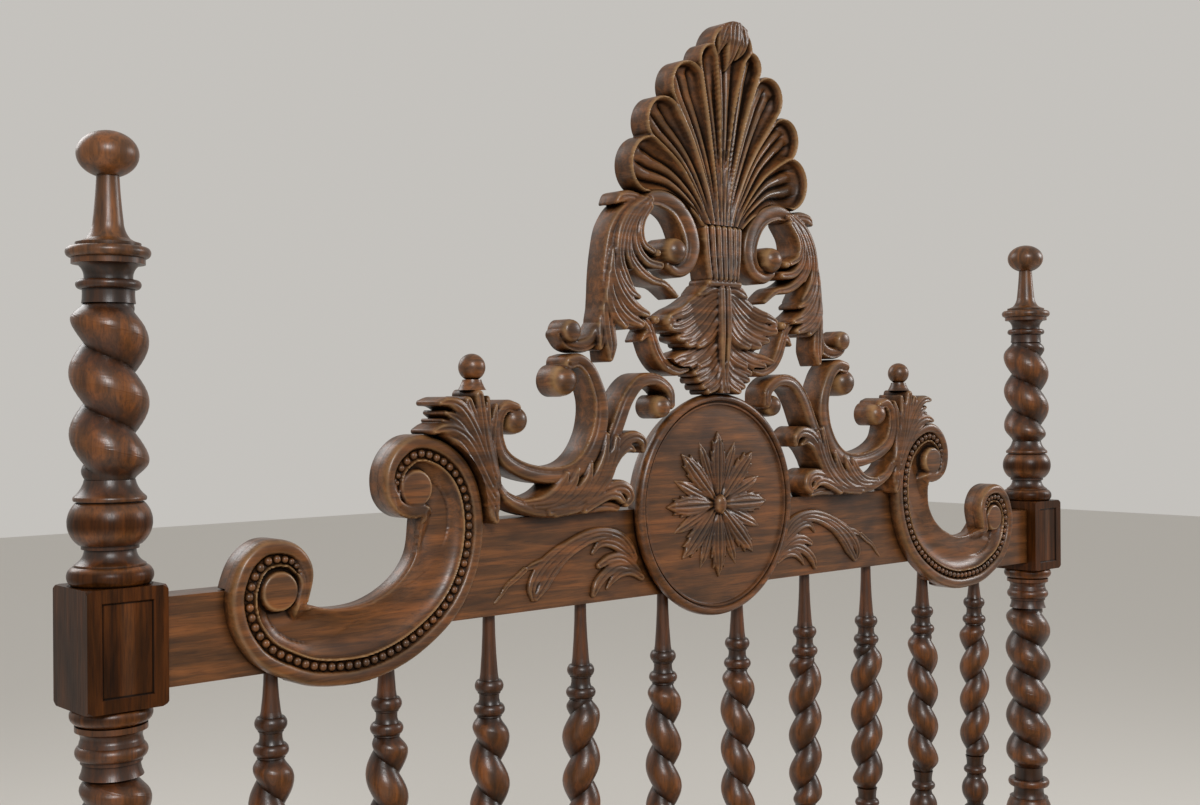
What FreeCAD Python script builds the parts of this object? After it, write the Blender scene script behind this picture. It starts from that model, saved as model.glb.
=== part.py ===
import FreeCAD, Part
import math
import os

from FreeCAD import Rotation, Vector

# Spiral post bed, millimetres. Z is up, X runs across the bed and the head is at +Y.
# The origin lies on the floor under the middle of the bed.

# Overall sizes, measured between the axes of the posts
post_spacing = 1500.0
bed_length = 2060.0

# Fits between the pieces
joint_clearance = 0.15
overrun = 2.0

# Posts
block_side = 74.0
block_corner = 4.0
foot_height = 255.0
lower_block_height = 180.0
upper_block_height = 107.0
post_ring_radius = 36.5
post_twist_radius = 34.2
post_valley_radius = 21.2
post_pitch = 54.0
post_lift_share = 0.19
moulding_height = 62.0
centre_height = 149.0
bulb_group_height = 93.0
ring_stack_height = 40.0
head_lower_twist = 125.5
head_middle_twist = 251.5
head_upper_twist = 156.0
foot_post_twist = 135.0

# Bevelled panel sunk into the front of each upper block
panel_width = 48.0
panel_height = 84.0
panel_depth = 1.6

# Finials
finial_height = 113.5
ball_height = 42.0
ball_radius = 27.0
finial_tenon_radius = 9.0
finial_tenon_length = 28.0

# Rails of the headboard and the footboard
rail_thickness = 36.0
rail_front = 22.0
rail_height = 81.5
crest_rail_height = 102.5
crest_rail_rise = 26.0
rail_step_margin = 48.0
lower_rail_height = 100.0
lower_rail_drop = 22.5
rail_block_margin = 13.0
tenon_thickness = 14.0
tenon_length = 30.0
tenon_shoulder = 18.0

# Spindles
spindle_count = 10
spindle_end_gap = 156.0
spindle_radius = 21.7
spindle_valley_radius = 12.0
spindle_pitch = 49.5
spindle_turns = 4.0
short_spindle_turns = 3.0
spindle_group_height = 40.5
spindle_centre_height = 100.0
spindle_upper_neck = 44.0
spindle_neck_end_radius = 6.6
spindle_tenon_radius = 5.5
spindle_tenon_length = 18.0
spindle_hands = (-1, -1, -1, 1, -1, -1, 1, 1, -1, 1)
spindle_lift_shares = (0.5, -0.38, 0.42, -0.27, 0.38, 0.34, 0.5, -0.3, 0.16, 0.33)

# Scroll brackets lapped over the crest rail
scroll_width = 291.0
scroll_height = 242.0
scroll_drop = 20.4
scroll_post_gap = 61.0
scroll_proud = 14.0
scroll_thickness = 28.0
scroll_field_depth = 6.0
scroll_rim = 15.0
scroll_eye_radius = 20.0
scroll_opening_radius = 89.0
rail_scoop_margin = 18.0

# Medallion and rosette
medallion_radius = 135.0
medallion_proud = 17.0
medallion_field_depth = 6.0
rosette_radius = 83.0
rosette_valley_radius = 30.0
rosette_thickness = 6.0
boss_radius = 9.5
petal_count = 16
short_petal_share = 0.84

# Carved crest
crest_height = 581.0
crest_overhang = 23.0
crest_thickness = 37.0
crest_upper_overhang = 25.0
crest_upper_thickness = 34.0
pendant_thickness = 30.0
crest_ball_radius = 14.3
crest_ball_neck = 11.0
shell_thickness = 27.0
shell_overhang = 23.0
shell_lean = 22.0
flute_depth = 9.0
flute_root_radius = 3.0

# Side rails, ledgers and slats
side_rail_height = 150.0
side_rail_thickness = 28.0
side_rail_inset = 5.0
side_rail_drop = 15.0
side_tenon_length = 22.0
side_tenon_height = 60.0
side_tenon_lift = 15.0
ledger_width = 28.0
ledger_height = 30.0
ledger_lift = 10.0
slat_count = 9
slat_width = 95.0
slat_thickness = 22.0
slat_end_gap = 3.0
slat_margin = 75.0

# Bed bolts, each drawn into a nut let into the side rail
bolt_radius = 4.8
bolt_length = 105.0
bolt_head_radius = 11.0
bolt_head_height = 7.0
bolt_recess_depth = 9.0
bolt_lift = 24.0
nut_side = 20.0
nut_thickness = 9.0
nut_setback = 42.0
bolt_clearance = 0.25

# Heights worked out from the sizes above
lower_block_top = foot_height + lower_block_height
head_block_bottom = (
    lower_block_top + moulding_height + head_lower_twist + centre_height + head_middle_twist + moulding_height
)
foot_block_bottom = lower_block_top + moulding_height + foot_post_twist + moulding_height
head_rail_top = head_block_bottom + upper_block_height - rail_block_margin
head_rail_bottom = head_rail_top - rail_height
crest_rail_bottom = head_rail_bottom + crest_rail_rise
crest_rail_top = crest_rail_bottom + crest_rail_height
foot_rail_top = foot_block_bottom + upper_block_height - rail_block_margin
foot_rail_bottom = foot_rail_top - rail_height
lower_rail_top = lower_block_top - lower_rail_drop
lower_rail_bottom = lower_rail_top - lower_rail_height
side_rail_top = lower_block_top - side_rail_drop
side_rail_bottom = side_rail_top - side_rail_height
ledger_top = side_rail_bottom + ledger_lift + ledger_height

# Places worked out from the sizes above
half_span = post_spacing / 2
half_length = bed_length / 2
half_block = block_side / 2
rail_reach = half_span - half_block
scroll_outer_x = rail_reach - scroll_post_gap
scroll_inner_x = scroll_outer_x - scroll_width
scroll_bottom = head_rail_bottom - scroll_drop
spindle_step = (post_spacing - 2 * spindle_end_gap) / (spindle_count - 1)
side_rail_x = half_span - side_rail_inset
carving_back = rail_front + scroll_proud - scroll_thickness

# The rounding of a squared block's corners, as a share of its half diagonal
block_bulge_share = 0.01

# Turned outlines run upwards as (height share, radius share, bulge share) of the group they belong to
moulding_shares = (
    (0.00, 0.76, 0), (0.20, 0.68, -0.02), (0.20, 0.73, 0), (0.26, 0.73, 0), (0.26, 0.78, 0),
    (0.45, 0.78, 0.08), (0.45, 0.77, 0), (0.51, 0.75, 0), (0.66, 0.83, -0.06), (0.66, 0.86, 0),
    (0.74, 0.86, 0), (0.74, 0.80, 0), (0.77, 0.86, 0), (1.00, 0.86, 0.12),
)
centre_shares = (
    (0.00, 0.60, 0), (0.13, 0.60, -0.02), (0.13, 0.80, 0), (0.20, 0.80, 0.06), (0.20, 0.66, 0),
    (0.32, 0.70, -0.06), (0.32, 0.80, 0), (0.34, 0.80, 0), (0.66, 0.80, 0.17), (0.68, 0.80, 0),
    (0.68, 0.70, 0), (0.80, 0.66, -0.06), (0.80, 0.80, 0), (0.87, 0.80, 0.06), (0.87, 0.60, 0),
    (1.00, 0.60, -0.02),
)
bulb_shares = (
    (0.00, 0.90, 0), (0.18, 0.88, 0.13), (0.18, 0.84, 0), (0.20, 0.84, 0), (0.21, 0.80, 0),
    (0.345, 0.61, -0.06), (0.345, 0.68, 0), (0.385, 0.68, 0), (0.385, 0.74, 0), (0.785, 0.80, 0.23),
    (0.785, 0.77, 0), (0.80, 0.77, 0), (0.80, 0.85, 0), (0.84, 0.85, 0.015), (1.00, 0.60, -0.05),
)
ring_stack_shares = (
    (0.00, 0.635, 0), (0.31, 0.62, -0.01), (0.31, 0.68, 0), (0.52, 0.68, 0.09), (0.52, 0.58, 0),
    (0.87, 0.75, -0.07), (0.87, 0.87, 0), (1.00, 0.87, 0),
)
finial_shares = (
    (0.00, 0.86, 0), (0.09, 0.84, 0.15), (0.09, 0.77, 0), (0.12, 0.77, 0), (0.155, 0.52, -0.03),
    (0.29, 0.36, -0.04), (0.65, 0.27, -0.01),
)
foot_shares = (
    (0.00, 0.62, 0), (0.10, 0.70, 0.06), (0.13, 0.56, 0), (0.24, 0.60, -0.07), (0.24, 0.72, 0),
    (0.28, 0.72, 0.05), (0.32, 0.62, 0), (0.82, 0.78, 0.27), (0.84, 0.90, 0), (0.89, 0.90, 0.06),
    (0.89, 0.78, 0), (0.96, 0.86, -0.06), (1.00, 1.00, 0),
)
spindle_group_shares = (
    (0.00, 0.62, 0), (0.05, 0.60, 0), (0.05, 0.66, 0), (0.33, 0.64, 0.13), (0.33, 0.58, 0),
    (0.60, 0.52, -0.05), (0.62, 0.57, 0), (0.67, 0.57, 0), (0.67, 0.62, 0), (0.96, 0.60, 0.11),
    (0.96, 0.50, 0), (1.00, 0.48, 0),
)
spindle_neck_shares = ((0.00, 1.00, 0), (0.08, 0.92, 0))
spindle_neck_bulge_share = -0.06
spindle_centre_shares = (
    (0.00, 0.64, 0), (0.14, 0.56, -0.03), (0.16, 0.66, 0), (0.25, 0.66, 0.10), (0.27, 0.54, 0),
    (0.33, 0.60, -0.02), (0.67, 0.60, 0.30), (0.73, 0.54, -0.02), (0.75, 0.66, 0), (0.84, 0.66, 0.10),
    (0.86, 0.56, 0), (1.00, 0.64, -0.03),
)

# The bracket's outline as shares of its width, from its outer edge, and of its height, from its foot
scroll_outline_shares = (
    (0.278, 0.343), (0.302, 0.446), (0.292, 0.517), (0.247, 0.579), (0.179, 0.607), (0.11, 0.60),
    (0.048, 0.545), (0.014, 0.467), (0.00, 0.384), (0.014, 0.281), (0.048, 0.198), (0.103, 0.124),
    (0.179, 0.07), (0.282, 0.02), (0.402, 0.00), (0.522, 0.004), (0.643, 0.041), (0.746, 0.099),
    (0.849, 0.186), (0.924, 0.289), (0.976, 0.417), (1.00, 0.55), (1.00, 0.665), (0.979, 0.777),
    (0.935, 0.872), (0.873, 0.942), (0.804, 0.983), (0.739, 1.00), (0.677, 0.988), (0.625, 0.946),
    (0.591, 0.888), (0.577, 0.822), (0.584, 0.748), (0.612, 0.694), (0.653, 0.661), (0.70, 0.649),
    (0.735, 0.653),
)
scroll_opening_shares = ((0.715, 0.50), (0.643, 0.393), (0.522, 0.322), (0.385, 0.31))
scroll_opening_centre_share = (0.437, 0.665)
scroll_eye_shares = ((0.175, 0.405), (0.71, 0.775))

# The crest's outlines as shares of its half width, from the middle, and of its height, from the rail
open_scroll_shares = (
    (0.92, 0.175), (0.91, 0.14), (0.87, 0.11), (0.81, 0.088), (0.74, 0.077), (0.665, 0.083),
    (0.60, 0.107), (0.55, 0.145), (0.526, 0.193), (0.532, 0.238), (0.565, 0.275), (0.615, 0.296),
    (0.665, 0.293), (0.69, 0.27), (0.69, 0.25),
)
open_scroll_width_shares = (0.045, 0.05, 0.05, 0.065, 0.065, 0.04, 0.035)
tendril_shares = (
    (0.96, 0.10), (0.91, 0.048), (0.845, 0.022), (0.76, 0.014), (0.68, 0.02), (0.605, 0.048),
    (0.55, 0.084), (0.51, 0.127), (0.475, 0.17), (0.43, 0.222), (0.37, 0.255), (0.30, 0.258),
    (0.245, 0.238), (0.235, 0.21),
)
tendril_width_shares = (0.045, 0.05, 0.055, 0.09, 0.08, 0.05, 0.04, 0.035)
spray_shares = (
    (0.97, 0.01), (1.03, 0.08), (1.10, 0.15), (1.165, 0.165), (1.13, 0.185), (1.145, 0.205),
    (1.10, 0.21), (1.12, 0.225), (1.08, 0.225), (1.06, 0.238), (0.995, 0.238), (0.975, 0.215),
    (0.955, 0.17), (0.94, 0.10), (0.92, 0.04),
)
acanthus_shares = (
    (0.69, 0.00), (0.665, 0.065), (0.595, 0.11), (0.57, 0.08), (0.505, 0.115), (0.475, 0.095),
    (0.42, 0.145), (0.385, 0.155), (0.365, 0.14), (0.41, 0.12), (0.45, 0.08), (0.485, 0.065),
    (0.42, 0.06), (0.38, 0.035), (0.40, 0.00),
)
pillar_shares = (
    (0.685, 0.34), (0.66, 0.322), (0.61, 0.315), (0.55, 0.325), (0.508, 0.355), (0.485, 0.395),
    (0.474, 0.445), (0.462, 0.497), (0.44, 0.55), (0.40, 0.592), (0.345, 0.618), (0.28, 0.622),
    (0.20, 0.603), (0.155, 0.57), (0.142, 0.53), (0.165, 0.495), (0.21, 0.482), (0.25, 0.49),
)
pillar_width_shares = (0.035, 0.045, 0.07, 0.09, 0.10, 0.085, 0.055, 0.05, 0.05, 0.045, 0.04)
pillar_leaf_shares = (
    ((0.49, 0.40), (0.50, 0.36), (0.502, 0.30)),
    ((0.47, 0.455), (0.44, 0.41), (0.39, 0.38), (0.35, 0.362)),
    ((0.43, 0.55), (0.40, 0.495), (0.34, 0.47), (0.27, 0.452)),
    ((0.37, 0.612), (0.42, 0.618), (0.465, 0.605)),
    ((0.37, 0.372), (0.34, 0.33), (0.325, 0.295), (0.30, 0.262)),
)
pillar_leaf_width_shares = (
    (0.05, 0.06, 0.02), (0.08, 0.08, 0.05, 0.02), (0.07, 0.07, 0.055, 0.02), (0.05, 0.03, 0.012),
    (0.035, 0.035, 0.04, 0.035),
)
crest_eye_shares = (
    ((0.867, 0.184, 0.047), (0.670, 0.246, 0.042), (0.270, 0.203, 0.036)),
    ((0.660, 0.353, 0.036), (0.236, 0.515, 0.042)),
)
pendant_shares = (
    (0.103, 0.571), (0.100, 0.54), (0.086, 0.50), (0.078, 0.482), (0.088, 0.476), (0.088, 0.466),
    (0.066, 0.456), (0.085, 0.437), (0.14, 0.418), (0.235, 0.401), (0.275, 0.379), (0.255, 0.351),
    (0.20, 0.337), (0.14, 0.338), (0.17, 0.318), (0.25, 0.299), (0.255, 0.282), (0.195, 0.275),
    (0.125, 0.283), (0.11, 0.276), (0.125, 0.256), (0.105, 0.234), (0.05, 0.236), (0.0, 0.225),
)
shell_notch_shares = (
    (0.103, 0.571), (0.27, 0.637), (0.336, 0.735), (0.247, 0.819), (0.139, 0.890), (0.103, 0.950),
)
shell_lobe_bulge_shares = (0.827, 0.492, 0.521, 0.287)
flute_root_share = 0.60
flute_spread_share = 0.24
flute_reach_shares = (
    (0.0, 0.925, 0.050), (0.205, 0.854, 0.045), (0.31, 0.781, 0.047),
    (0.355, 0.682, 0.052),
)

# The medallion's outline, from its back, and the reach of a petal's side
medallion_shares = (
    (0.00, 0.93, 0), (0.40, 0.95, 0), (0.50, 1.00, 0), (0.78, 1.00, 0), (1.00, 0.955, 0.015),
)
medallion_field_share = 0.915
petal_side_share = 0.62
petal_width_share = 0.30

# The ball finials of the crest
crest_ball_place_share = (1.028, 0.238)
crest_neck_shares = ((0.0, 1.06, 0), (0.5, 0.84, -0.02), (1.0, 0.70, -0.02))
crest_ball_seat_share = 0.90
crest_ball_overhang = 9.0
shell_curl_share = 1.5


def box(low, high):
    return Part.makeBox(high[0] - low[0], high[1] - low[1], high[2] - low[2], Vector(*low))


def centred_box(centre, size):
    low = [middle - length / 2 for middle, length in zip(centre, size)]
    high = [middle + length / 2 for middle, length in zip(centre, size)]
    return box(low, high)


def mirrored(shape):
    return shape.mirror(Vector(0, 0, 0), Vector(1, 0, 0))


def spline(points):
    curve = Part.BSplineCurve()
    curve.interpolate(points)
    return curve


# Turning: an outline on the lathe, spun about a vertical axis

def outline_edges(shares, radius, height, base):
    edges = []
    last_height, last_radius, _ = shares[0]
    last = Vector(last_radius * radius, 0, base + last_height * height)
    for height_share, radius_share, bulge_share in shares[1:]:
        point = Vector(radius_share * radius, 0, base + height_share * height)
        if bulge_share:
            middle = (last + point) / 2 + Vector(bulge_share * radius, 0, 0)
            edges.append(Part.Arc(last, middle, point).toShape())
        else:
            edges.append(Part.makeLine(last, point))
        last = point
    return edges


def turned(axis, shares, radius, height, base):
    edges = outline_edges(shares, radius, height, base)
    first = edges[0].Vertexes[0].Point
    last = edges[-1].Vertexes[-1].Point
    foot = Vector(0, 0, first.z)
    top = Vector(0, 0, last.z)
    outline = [Part.makeLine(foot, first)] + edges + [Part.makeLine(last, top), Part.makeLine(top, foot)]
    solid = Part.Face(Part.Wire(outline)).revolve(Vector(0, 0, 0), Vector(0, 0, 1), 360)
    solid.translate(Vector(axis[0], axis[1], 0))
    return solid


def upside_down(shares):
    turned_over = [(1 - height, radius) for height, radius, _ in reversed(shares)]
    bulges = [0] + [bulge for _, _, bulge in reversed(shares[1:])]
    return tuple((height, radius, bulge) for (height, radius), bulge in zip(turned_over, bulges))


def cylinder(centre, radius, length, direction):
    return Part.makeCylinder(radius, length, Vector(*centre), Vector(*direction))


# Barley twist: one ridge winding round the post, rounded on top, meeting itself in a sharp valley.
# The lift is the share of a turn's height by which the ridge is raised.

def twist(axis, base, length, ridge_radius, valley_radius, pitch, hand, lift_share):
    around = 12
    rows_per_turn = 8
    rows = math.ceil(length / pitch * rows_per_turn)
    run_out = pitch / 3
    grid = []
    for row in range(rows + 1):
        rise = length * row / rows
        fade = min(1, rise / run_out, (length - rise) / run_out)
        ridge = (ridge_radius - valley_radius) * math.sin(fade * math.pi / 2)
        start = hand * 2 * math.pi * (rise / pitch - lift_share)
        ring = []
        for step in range(around + 1):
            turn = 2 * math.pi * step / around - math.pi
            radius = valley_radius + ridge * abs(math.cos(turn / 2))
            angle = start + turn
            out = Vector(radius * math.cos(angle), radius * math.sin(angle), base + rise)
            ring.append(out + Vector(axis[0], axis[1], 0))
        grid.append(ring)
    surface = Part.BSplineSurface()
    surface.interpolate(grid)
    return closed_twist(surface)


def closed_twist(surface):
    low_u, high_u, low_v, high_v = surface.bounds()
    middle = (low_v + high_v) / 2
    halves = []
    for first, last in ((low_v, middle), (middle, high_v)):
        half = surface.copy()
        half.segment(low_u, high_u, first, last)
        halves.append(half.toShape())
    caps = []
    for u in (low_u, high_u):
        rims = [half.Surface.uIso(u).toShape() for half in halves]
        caps.append(Part.Face(Part.Wire(rims)))
    shell = Part.makeShell(halves + caps)
    shell.sewShape()
    solid = Part.makeSolid(shell)
    if solid.Volume < 0:
        solid.reverse()
    return solid


# Posts

def squared_block(axis, base, height):
    square = centred_box((axis[0], axis[1], base + height / 2), (block_side, block_side, height))
    corner = block_side / math.sqrt(2)
    inner_share = (corner - block_corner) / corner
    corner_share = block_corner / height
    outline = (
        (0, inner_share, 0), (corner_share, 1, block_bulge_share), (1 - corner_share, 1, 0),
        (1, inner_share, block_bulge_share),
    )
    return square.common(turned(axis, outline, corner, height, base))


def sunk_panel(axis, base):
    outlines = []
    for depth in (-overrun, panel_depth):
        y = axis[1] - half_block + depth
        left = axis[0] - panel_width / 2 + depth
        right = axis[0] + panel_width / 2 - depth
        low = base + (upper_block_height - panel_height) / 2 + depth
        high = base + (upper_block_height + panel_height) / 2 - depth
        corners = [(left, y, low), (right, y, low), (right, y, high), (left, y, high), (left, y, low)]
        outlines.append(Part.makePolygon([Vector(*corner) for corner in corners]))
    return Part.makeLoft(outlines, True, True)


def stacked(pieces):
    return pieces[0].multiFuse(pieces[1:])


def post_twist(axis, base, length):
    lift_share = -post_lift_share * axis[0] / half_span
    return twist(axis, base, length, post_twist_radius, post_valley_radius, post_pitch, -1, lift_share)


def lower_post(axis):
    pieces = [turned(axis, foot_shares, post_ring_radius, foot_height, 0)]
    pieces.append(squared_block(axis, foot_height, lower_block_height))
    pieces.append(turned(axis, upside_down(moulding_shares), post_ring_radius, moulding_height,
                         lower_block_top))
    return pieces


def head_post(axis):
    pieces = lower_post(axis)
    level = lower_block_top + moulding_height
    pieces.append(post_twist(axis, level, head_lower_twist))
    level += head_lower_twist
    pieces.append(turned(axis, centre_shares, post_ring_radius, centre_height, level))
    level += centre_height
    pieces.append(post_twist(axis, level, head_middle_twist))
    level += head_middle_twist
    pieces.append(turned(axis, moulding_shares, post_ring_radius, moulding_height, level))
    pieces.append(squared_block(axis, head_block_bottom, upper_block_height))
    level = head_block_bottom + upper_block_height
    pieces.append(turned(axis, bulb_shares, post_ring_radius, bulb_group_height, level))
    level += bulb_group_height
    pieces.append(post_twist(axis, level, head_upper_twist))
    level += head_upper_twist
    pieces.append(turned(axis, ring_stack_shares, post_ring_radius, ring_stack_height, level))
    return pieces, level + ring_stack_height


def foot_post(axis):
    pieces = lower_post(axis)
    level = lower_block_top + moulding_height
    pieces.append(post_twist(axis, level, foot_post_twist))
    level += foot_post_twist
    pieces.append(turned(axis, moulding_shares, post_ring_radius, moulding_height, level))
    pieces.append(squared_block(axis, foot_block_bottom, upper_block_height))
    level = foot_block_bottom + upper_block_height
    pieces.append(turned(axis, bulb_shares, post_ring_radius, bulb_group_height, level))
    level += bulb_group_height
    pieces.append(turned(axis, ring_stack_shares, post_ring_radius, ring_stack_height, level))
    return pieces, level + ring_stack_height


def tenon(side, y, low, high, clearance):
    reach = tenon_length + clearance
    x = side * (rail_reach + (reach - overrun) / 2)
    height = high - low - 2 * tenon_shoulder + 2 * clearance
    size = (reach + overrun, tenon_thickness + 2 * clearance, height)
    return centred_box((x, y, (low + high) / 2), size)


def side_tenon(side, end, clearance):
    reach = side_tenon_length + clearance
    y = end * (half_length - half_block + (reach - overrun) / 2)
    middle = (side_rail_bottom + side_rail_top) / 2 + side_tenon_lift
    size = (tenon_thickness + 2 * clearance, reach + overrun, side_tenon_height + 2 * clearance)
    return centred_box((side * side_rail_x, y, middle), size)


def bolt_height():
    return side_rail_bottom + bolt_lift


def bolt_bore(side, end, radius, length):
    y = end * (half_length + half_block + overrun)
    return cylinder((side * side_rail_x, y, bolt_height()), radius, length, (0, -end, 0))


def finished_post(side, end):
    axis = (side * half_span, end * half_length)
    pieces, top = head_post(axis) if end > 0 else foot_post(axis)
    block_bottom, rail_bottom, rail_top = (
        (head_block_bottom, head_rail_bottom, head_rail_top) if end > 0
        else (foot_block_bottom, foot_rail_bottom, foot_rail_top)
    )
    post = stacked(pieces)
    rail_y = rail_centre_y(end)
    cuts = [tenon(side, rail_y, rail_bottom, rail_top, joint_clearance)]
    cuts.append(tenon(side, rail_y, lower_rail_bottom, lower_rail_top, joint_clearance))
    cuts.append(side_tenon(side, end, joint_clearance))
    cuts.append(bolt_bore(side, end, bolt_radius + bolt_clearance, block_side + 2 * overrun))
    cuts.append(bolt_bore(side, end, bolt_head_radius + bolt_clearance, bolt_recess_depth + overrun))
    hole_depth = finial_tenon_length + joint_clearance
    hole_radius = finial_tenon_radius + joint_clearance
    cuts.append(cylinder((axis[0], axis[1], top - hole_depth), hole_radius, hole_depth + overrun, (0, 0, 1)))
    cuts.append(sunk_panel(axis, block_bottom))
    return post.cut(cuts), finial(axis, top)


def finial(axis, base):
    outline = turned(axis, finial_shares, post_ring_radius, finial_height, base)
    ball = Part.makeSphere(ball_radius)
    stretch = FreeCAD.Matrix()
    stretch.scale(1, 1, ball_height / (2 * ball_radius))
    ball = ball.transformGeometry(stretch)
    ball.translate(Vector(axis[0], axis[1], base + finial_height - ball_height / 2))
    pin = cylinder((axis[0], axis[1], base - finial_tenon_length), finial_tenon_radius,
                   finial_tenon_length + overrun, (0, 0, 1))
    return stacked([outline, ball, pin])


# Rails

def rail_centre_y(end):
    return end * (half_length - rail_front + rail_thickness / 2)


def rail_front_y():
    return half_length - rail_front


def board(outline, depth):
    return Part.Face(Part.Wire(outline)).extrude(Vector(0, depth, 0))


def closed_lines(points):
    return Part.makePolygon(points + points[:1]).Edges


def rail_step_x():
    return scroll_opening_x() - rail_step_margin


def crest_rail_outline(y):
    step_x = rail_step_x()
    half = [
        Vector(rail_reach, y, head_rail_top), Vector(rail_reach, y, head_rail_bottom),
        Vector(step_x, y, head_rail_bottom), Vector(step_x, y, crest_rail_bottom),
    ]
    other = [Vector(-point.x, y, point.z) for point in reversed(half)]
    top_x = scroll_opening_x() - scroll_opening_radius
    top = [Vector(-top_x, y, head_rail_top), Vector(-top_x, y, crest_rail_top)]
    top_right = [Vector(top_x, y, crest_rail_top), Vector(top_x, y, head_rail_top)]
    return closed_lines(half + other + top + top_right)


def scroll_opening_x():
    return scroll_outer_x - scroll_width * scroll_opening_centre_share[0]


def scroll_opening_z():
    return scroll_bottom + scroll_height * scroll_opening_centre_share[1]


def drilled_for_spindles(rail, end, face_z, direction):
    holes = []
    for index in range(spindle_count):
        start = (spindle_x(index), rail_centre_y(end), face_z(index) - direction * overrun)
        holes.append(cylinder(start, spindle_tenon_radius + joint_clearance,
                              spindle_tenon_length + joint_clearance + overrun, (0, 0, direction)))
    return rail.cut(holes)


def end_tenons(end, low, high):
    return [tenon(side, rail_centre_y(end), low, high, 0) for side in (-1, 1)]


def headboard_top_rail():
    y = rail_front_y()
    rail = board(crest_rail_outline(y), rail_thickness)
    scoops = []
    for side in (-1, 1):
        centre = (side * scroll_opening_x(), y - overrun, scroll_opening_z())
        scoops.append(cylinder(centre, scroll_opening_radius + rail_scoop_margin,
                               rail_thickness + 2 * overrun, (0, 1, 0)))
    rail = rail.cut(scoops)
    rail = stacked([rail] + end_tenons(1, head_rail_bottom, head_rail_top))
    return drilled_for_spindles(rail, 1, head_spindle_top, 1)


def straight_rail(end, low, high):
    size = (2 * rail_reach, rail_thickness, high - low)
    rail = centred_box((0, rail_centre_y(end), (low + high) / 2), size)
    return stacked([rail] + end_tenons(end, low, high))


def footboard_top_rail():
    rail = straight_rail(-1, foot_rail_bottom, foot_rail_top)
    return drilled_for_spindles(rail, -1, lambda index: foot_rail_bottom, 1)


def lower_rail(end):
    rail = straight_rail(end, lower_rail_bottom, lower_rail_top)
    return drilled_for_spindles(rail, end, lambda index: lower_rail_top, -1)


# Spindles

def spindle_x(index):
    return -half_span + spindle_end_gap + index * spindle_step


def head_spindle_top(index):
    return crest_rail_bottom if abs(spindle_x(index)) < rail_step_x() else head_rail_bottom


def spindle_neck(axis, low, high, thick_radius, slim_at_top):
    slim = spindle_neck_end_radius / thick_radius
    shares = spindle_neck_shares + ((1, slim, spindle_neck_bulge_share),)
    return turned(axis, shares if slim_at_top else upside_down(shares), thick_radius, high - low, low)


def spindle(axis, low, high, core_low, turns, index, centre_group):
    twist_length = turns * spindle_pitch
    thick_radius = spindle_radius * spindle_group_shares[-1][1]
    pieces = [spindle_neck(axis, low, core_low, thick_radius, False)]
    level = core_low
    pieces.append(turned(axis, upside_down(spindle_group_shares), spindle_radius,
                         spindle_group_height, level))
    level += spindle_group_height
    pieces.append(spindle_twist(axis, level, twist_length, index))
    level += twist_length
    if centre_group:
        pieces.append(turned(axis, spindle_centre_shares, spindle_radius, spindle_centre_height, level))
        level += spindle_centre_height
        pieces.append(spindle_twist(axis, level, twist_length, index))
        level += twist_length
    pieces.append(turned(axis, spindle_group_shares, spindle_radius, spindle_group_height, level))
    level += spindle_group_height
    pieces.append(spindle_neck(axis, level, high, thick_radius, True))
    for start, direction in ((low + overrun, -1), (high - overrun, 1)):
        pieces.append(cylinder((axis[0], axis[1], start), spindle_tenon_radius,
                               spindle_tenon_length + overrun, (0, 0, direction)))
    return stacked(pieces)


def spindle_twist(axis, base, length, index):
    return twist(axis, base, length, spindle_radius, spindle_valley_radius, spindle_pitch,
                 spindle_hands[index], spindle_lift_shares[index])


def head_spindle(index):
    axis = (spindle_x(index), rail_centre_y(1))
    core = 2 * (spindle_group_height + spindle_turns * spindle_pitch) + spindle_centre_height
    core_low = head_rail_bottom - spindle_upper_neck - core
    return spindle(axis, lower_rail_top, head_spindle_top(index), core_low, spindle_turns,
                   index, True)


def foot_spindle(index):
    axis = (spindle_x(index), rail_centre_y(-1))
    core = 2 * spindle_group_height + short_spindle_turns * spindle_pitch
    core_low = (lower_rail_top + foot_rail_bottom - core) / 2
    return spindle(axis, lower_rail_top, foot_rail_bottom, core_low, short_spindle_turns,
                   index, False)


# Carved boards: outlines cut through, then sunk and trimmed to what they rest on

def scroll_point(share, y):
    return Vector(scroll_outer_x - share[0] * scroll_width, y, scroll_bottom + share[1] * scroll_height)


def rim_point(curve, point):
    tangent = curve.tangent(curve.parameter(point))[0]
    return point + Vector(tangent.z, 0, -tangent.x) * scroll_rim


def scroll_field(curve, y):
    rim = [rim_point(curve, scroll_point(share, y)) for share in scroll_outline_shares[3:-4]]
    low_eye, high_eye = [scroll_point(share, y) for share in scroll_eye_shares]
    centre = scroll_point(scroll_opening_centre_share, y)
    edge = []
    for share in scroll_opening_shares:
        point = scroll_point(share, y)
        edge.append(point + (centre - point).normalize() * overrun)
    notch = scroll_point(scroll_outline_shares[-1], y)
    last_notch = scroll_point(scroll_outline_shares[0], y)
    opening = spline([notch] + edge + [last_notch]).toShape()
    outline = [
        spline(rim).toShape(), Part.makeLine(rim[-1], high_eye), Part.makeLine(high_eye, notch), opening,
        Part.makeLine(last_notch, low_eye), Part.makeLine(low_eye, rim[0]),
    ]
    field = board(outline, scroll_field_depth + overrun)
    field.translate(Vector(0, -overrun, 0))
    reach = scroll_field_depth + 4 * overrun
    eyes = [cylinder((middle.x, y - 2 * overrun, middle.z), scroll_eye_radius, reach, (0, 1, 0))
            for middle in (low_eye, high_eye)]
    return field.cut(eyes)


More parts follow.
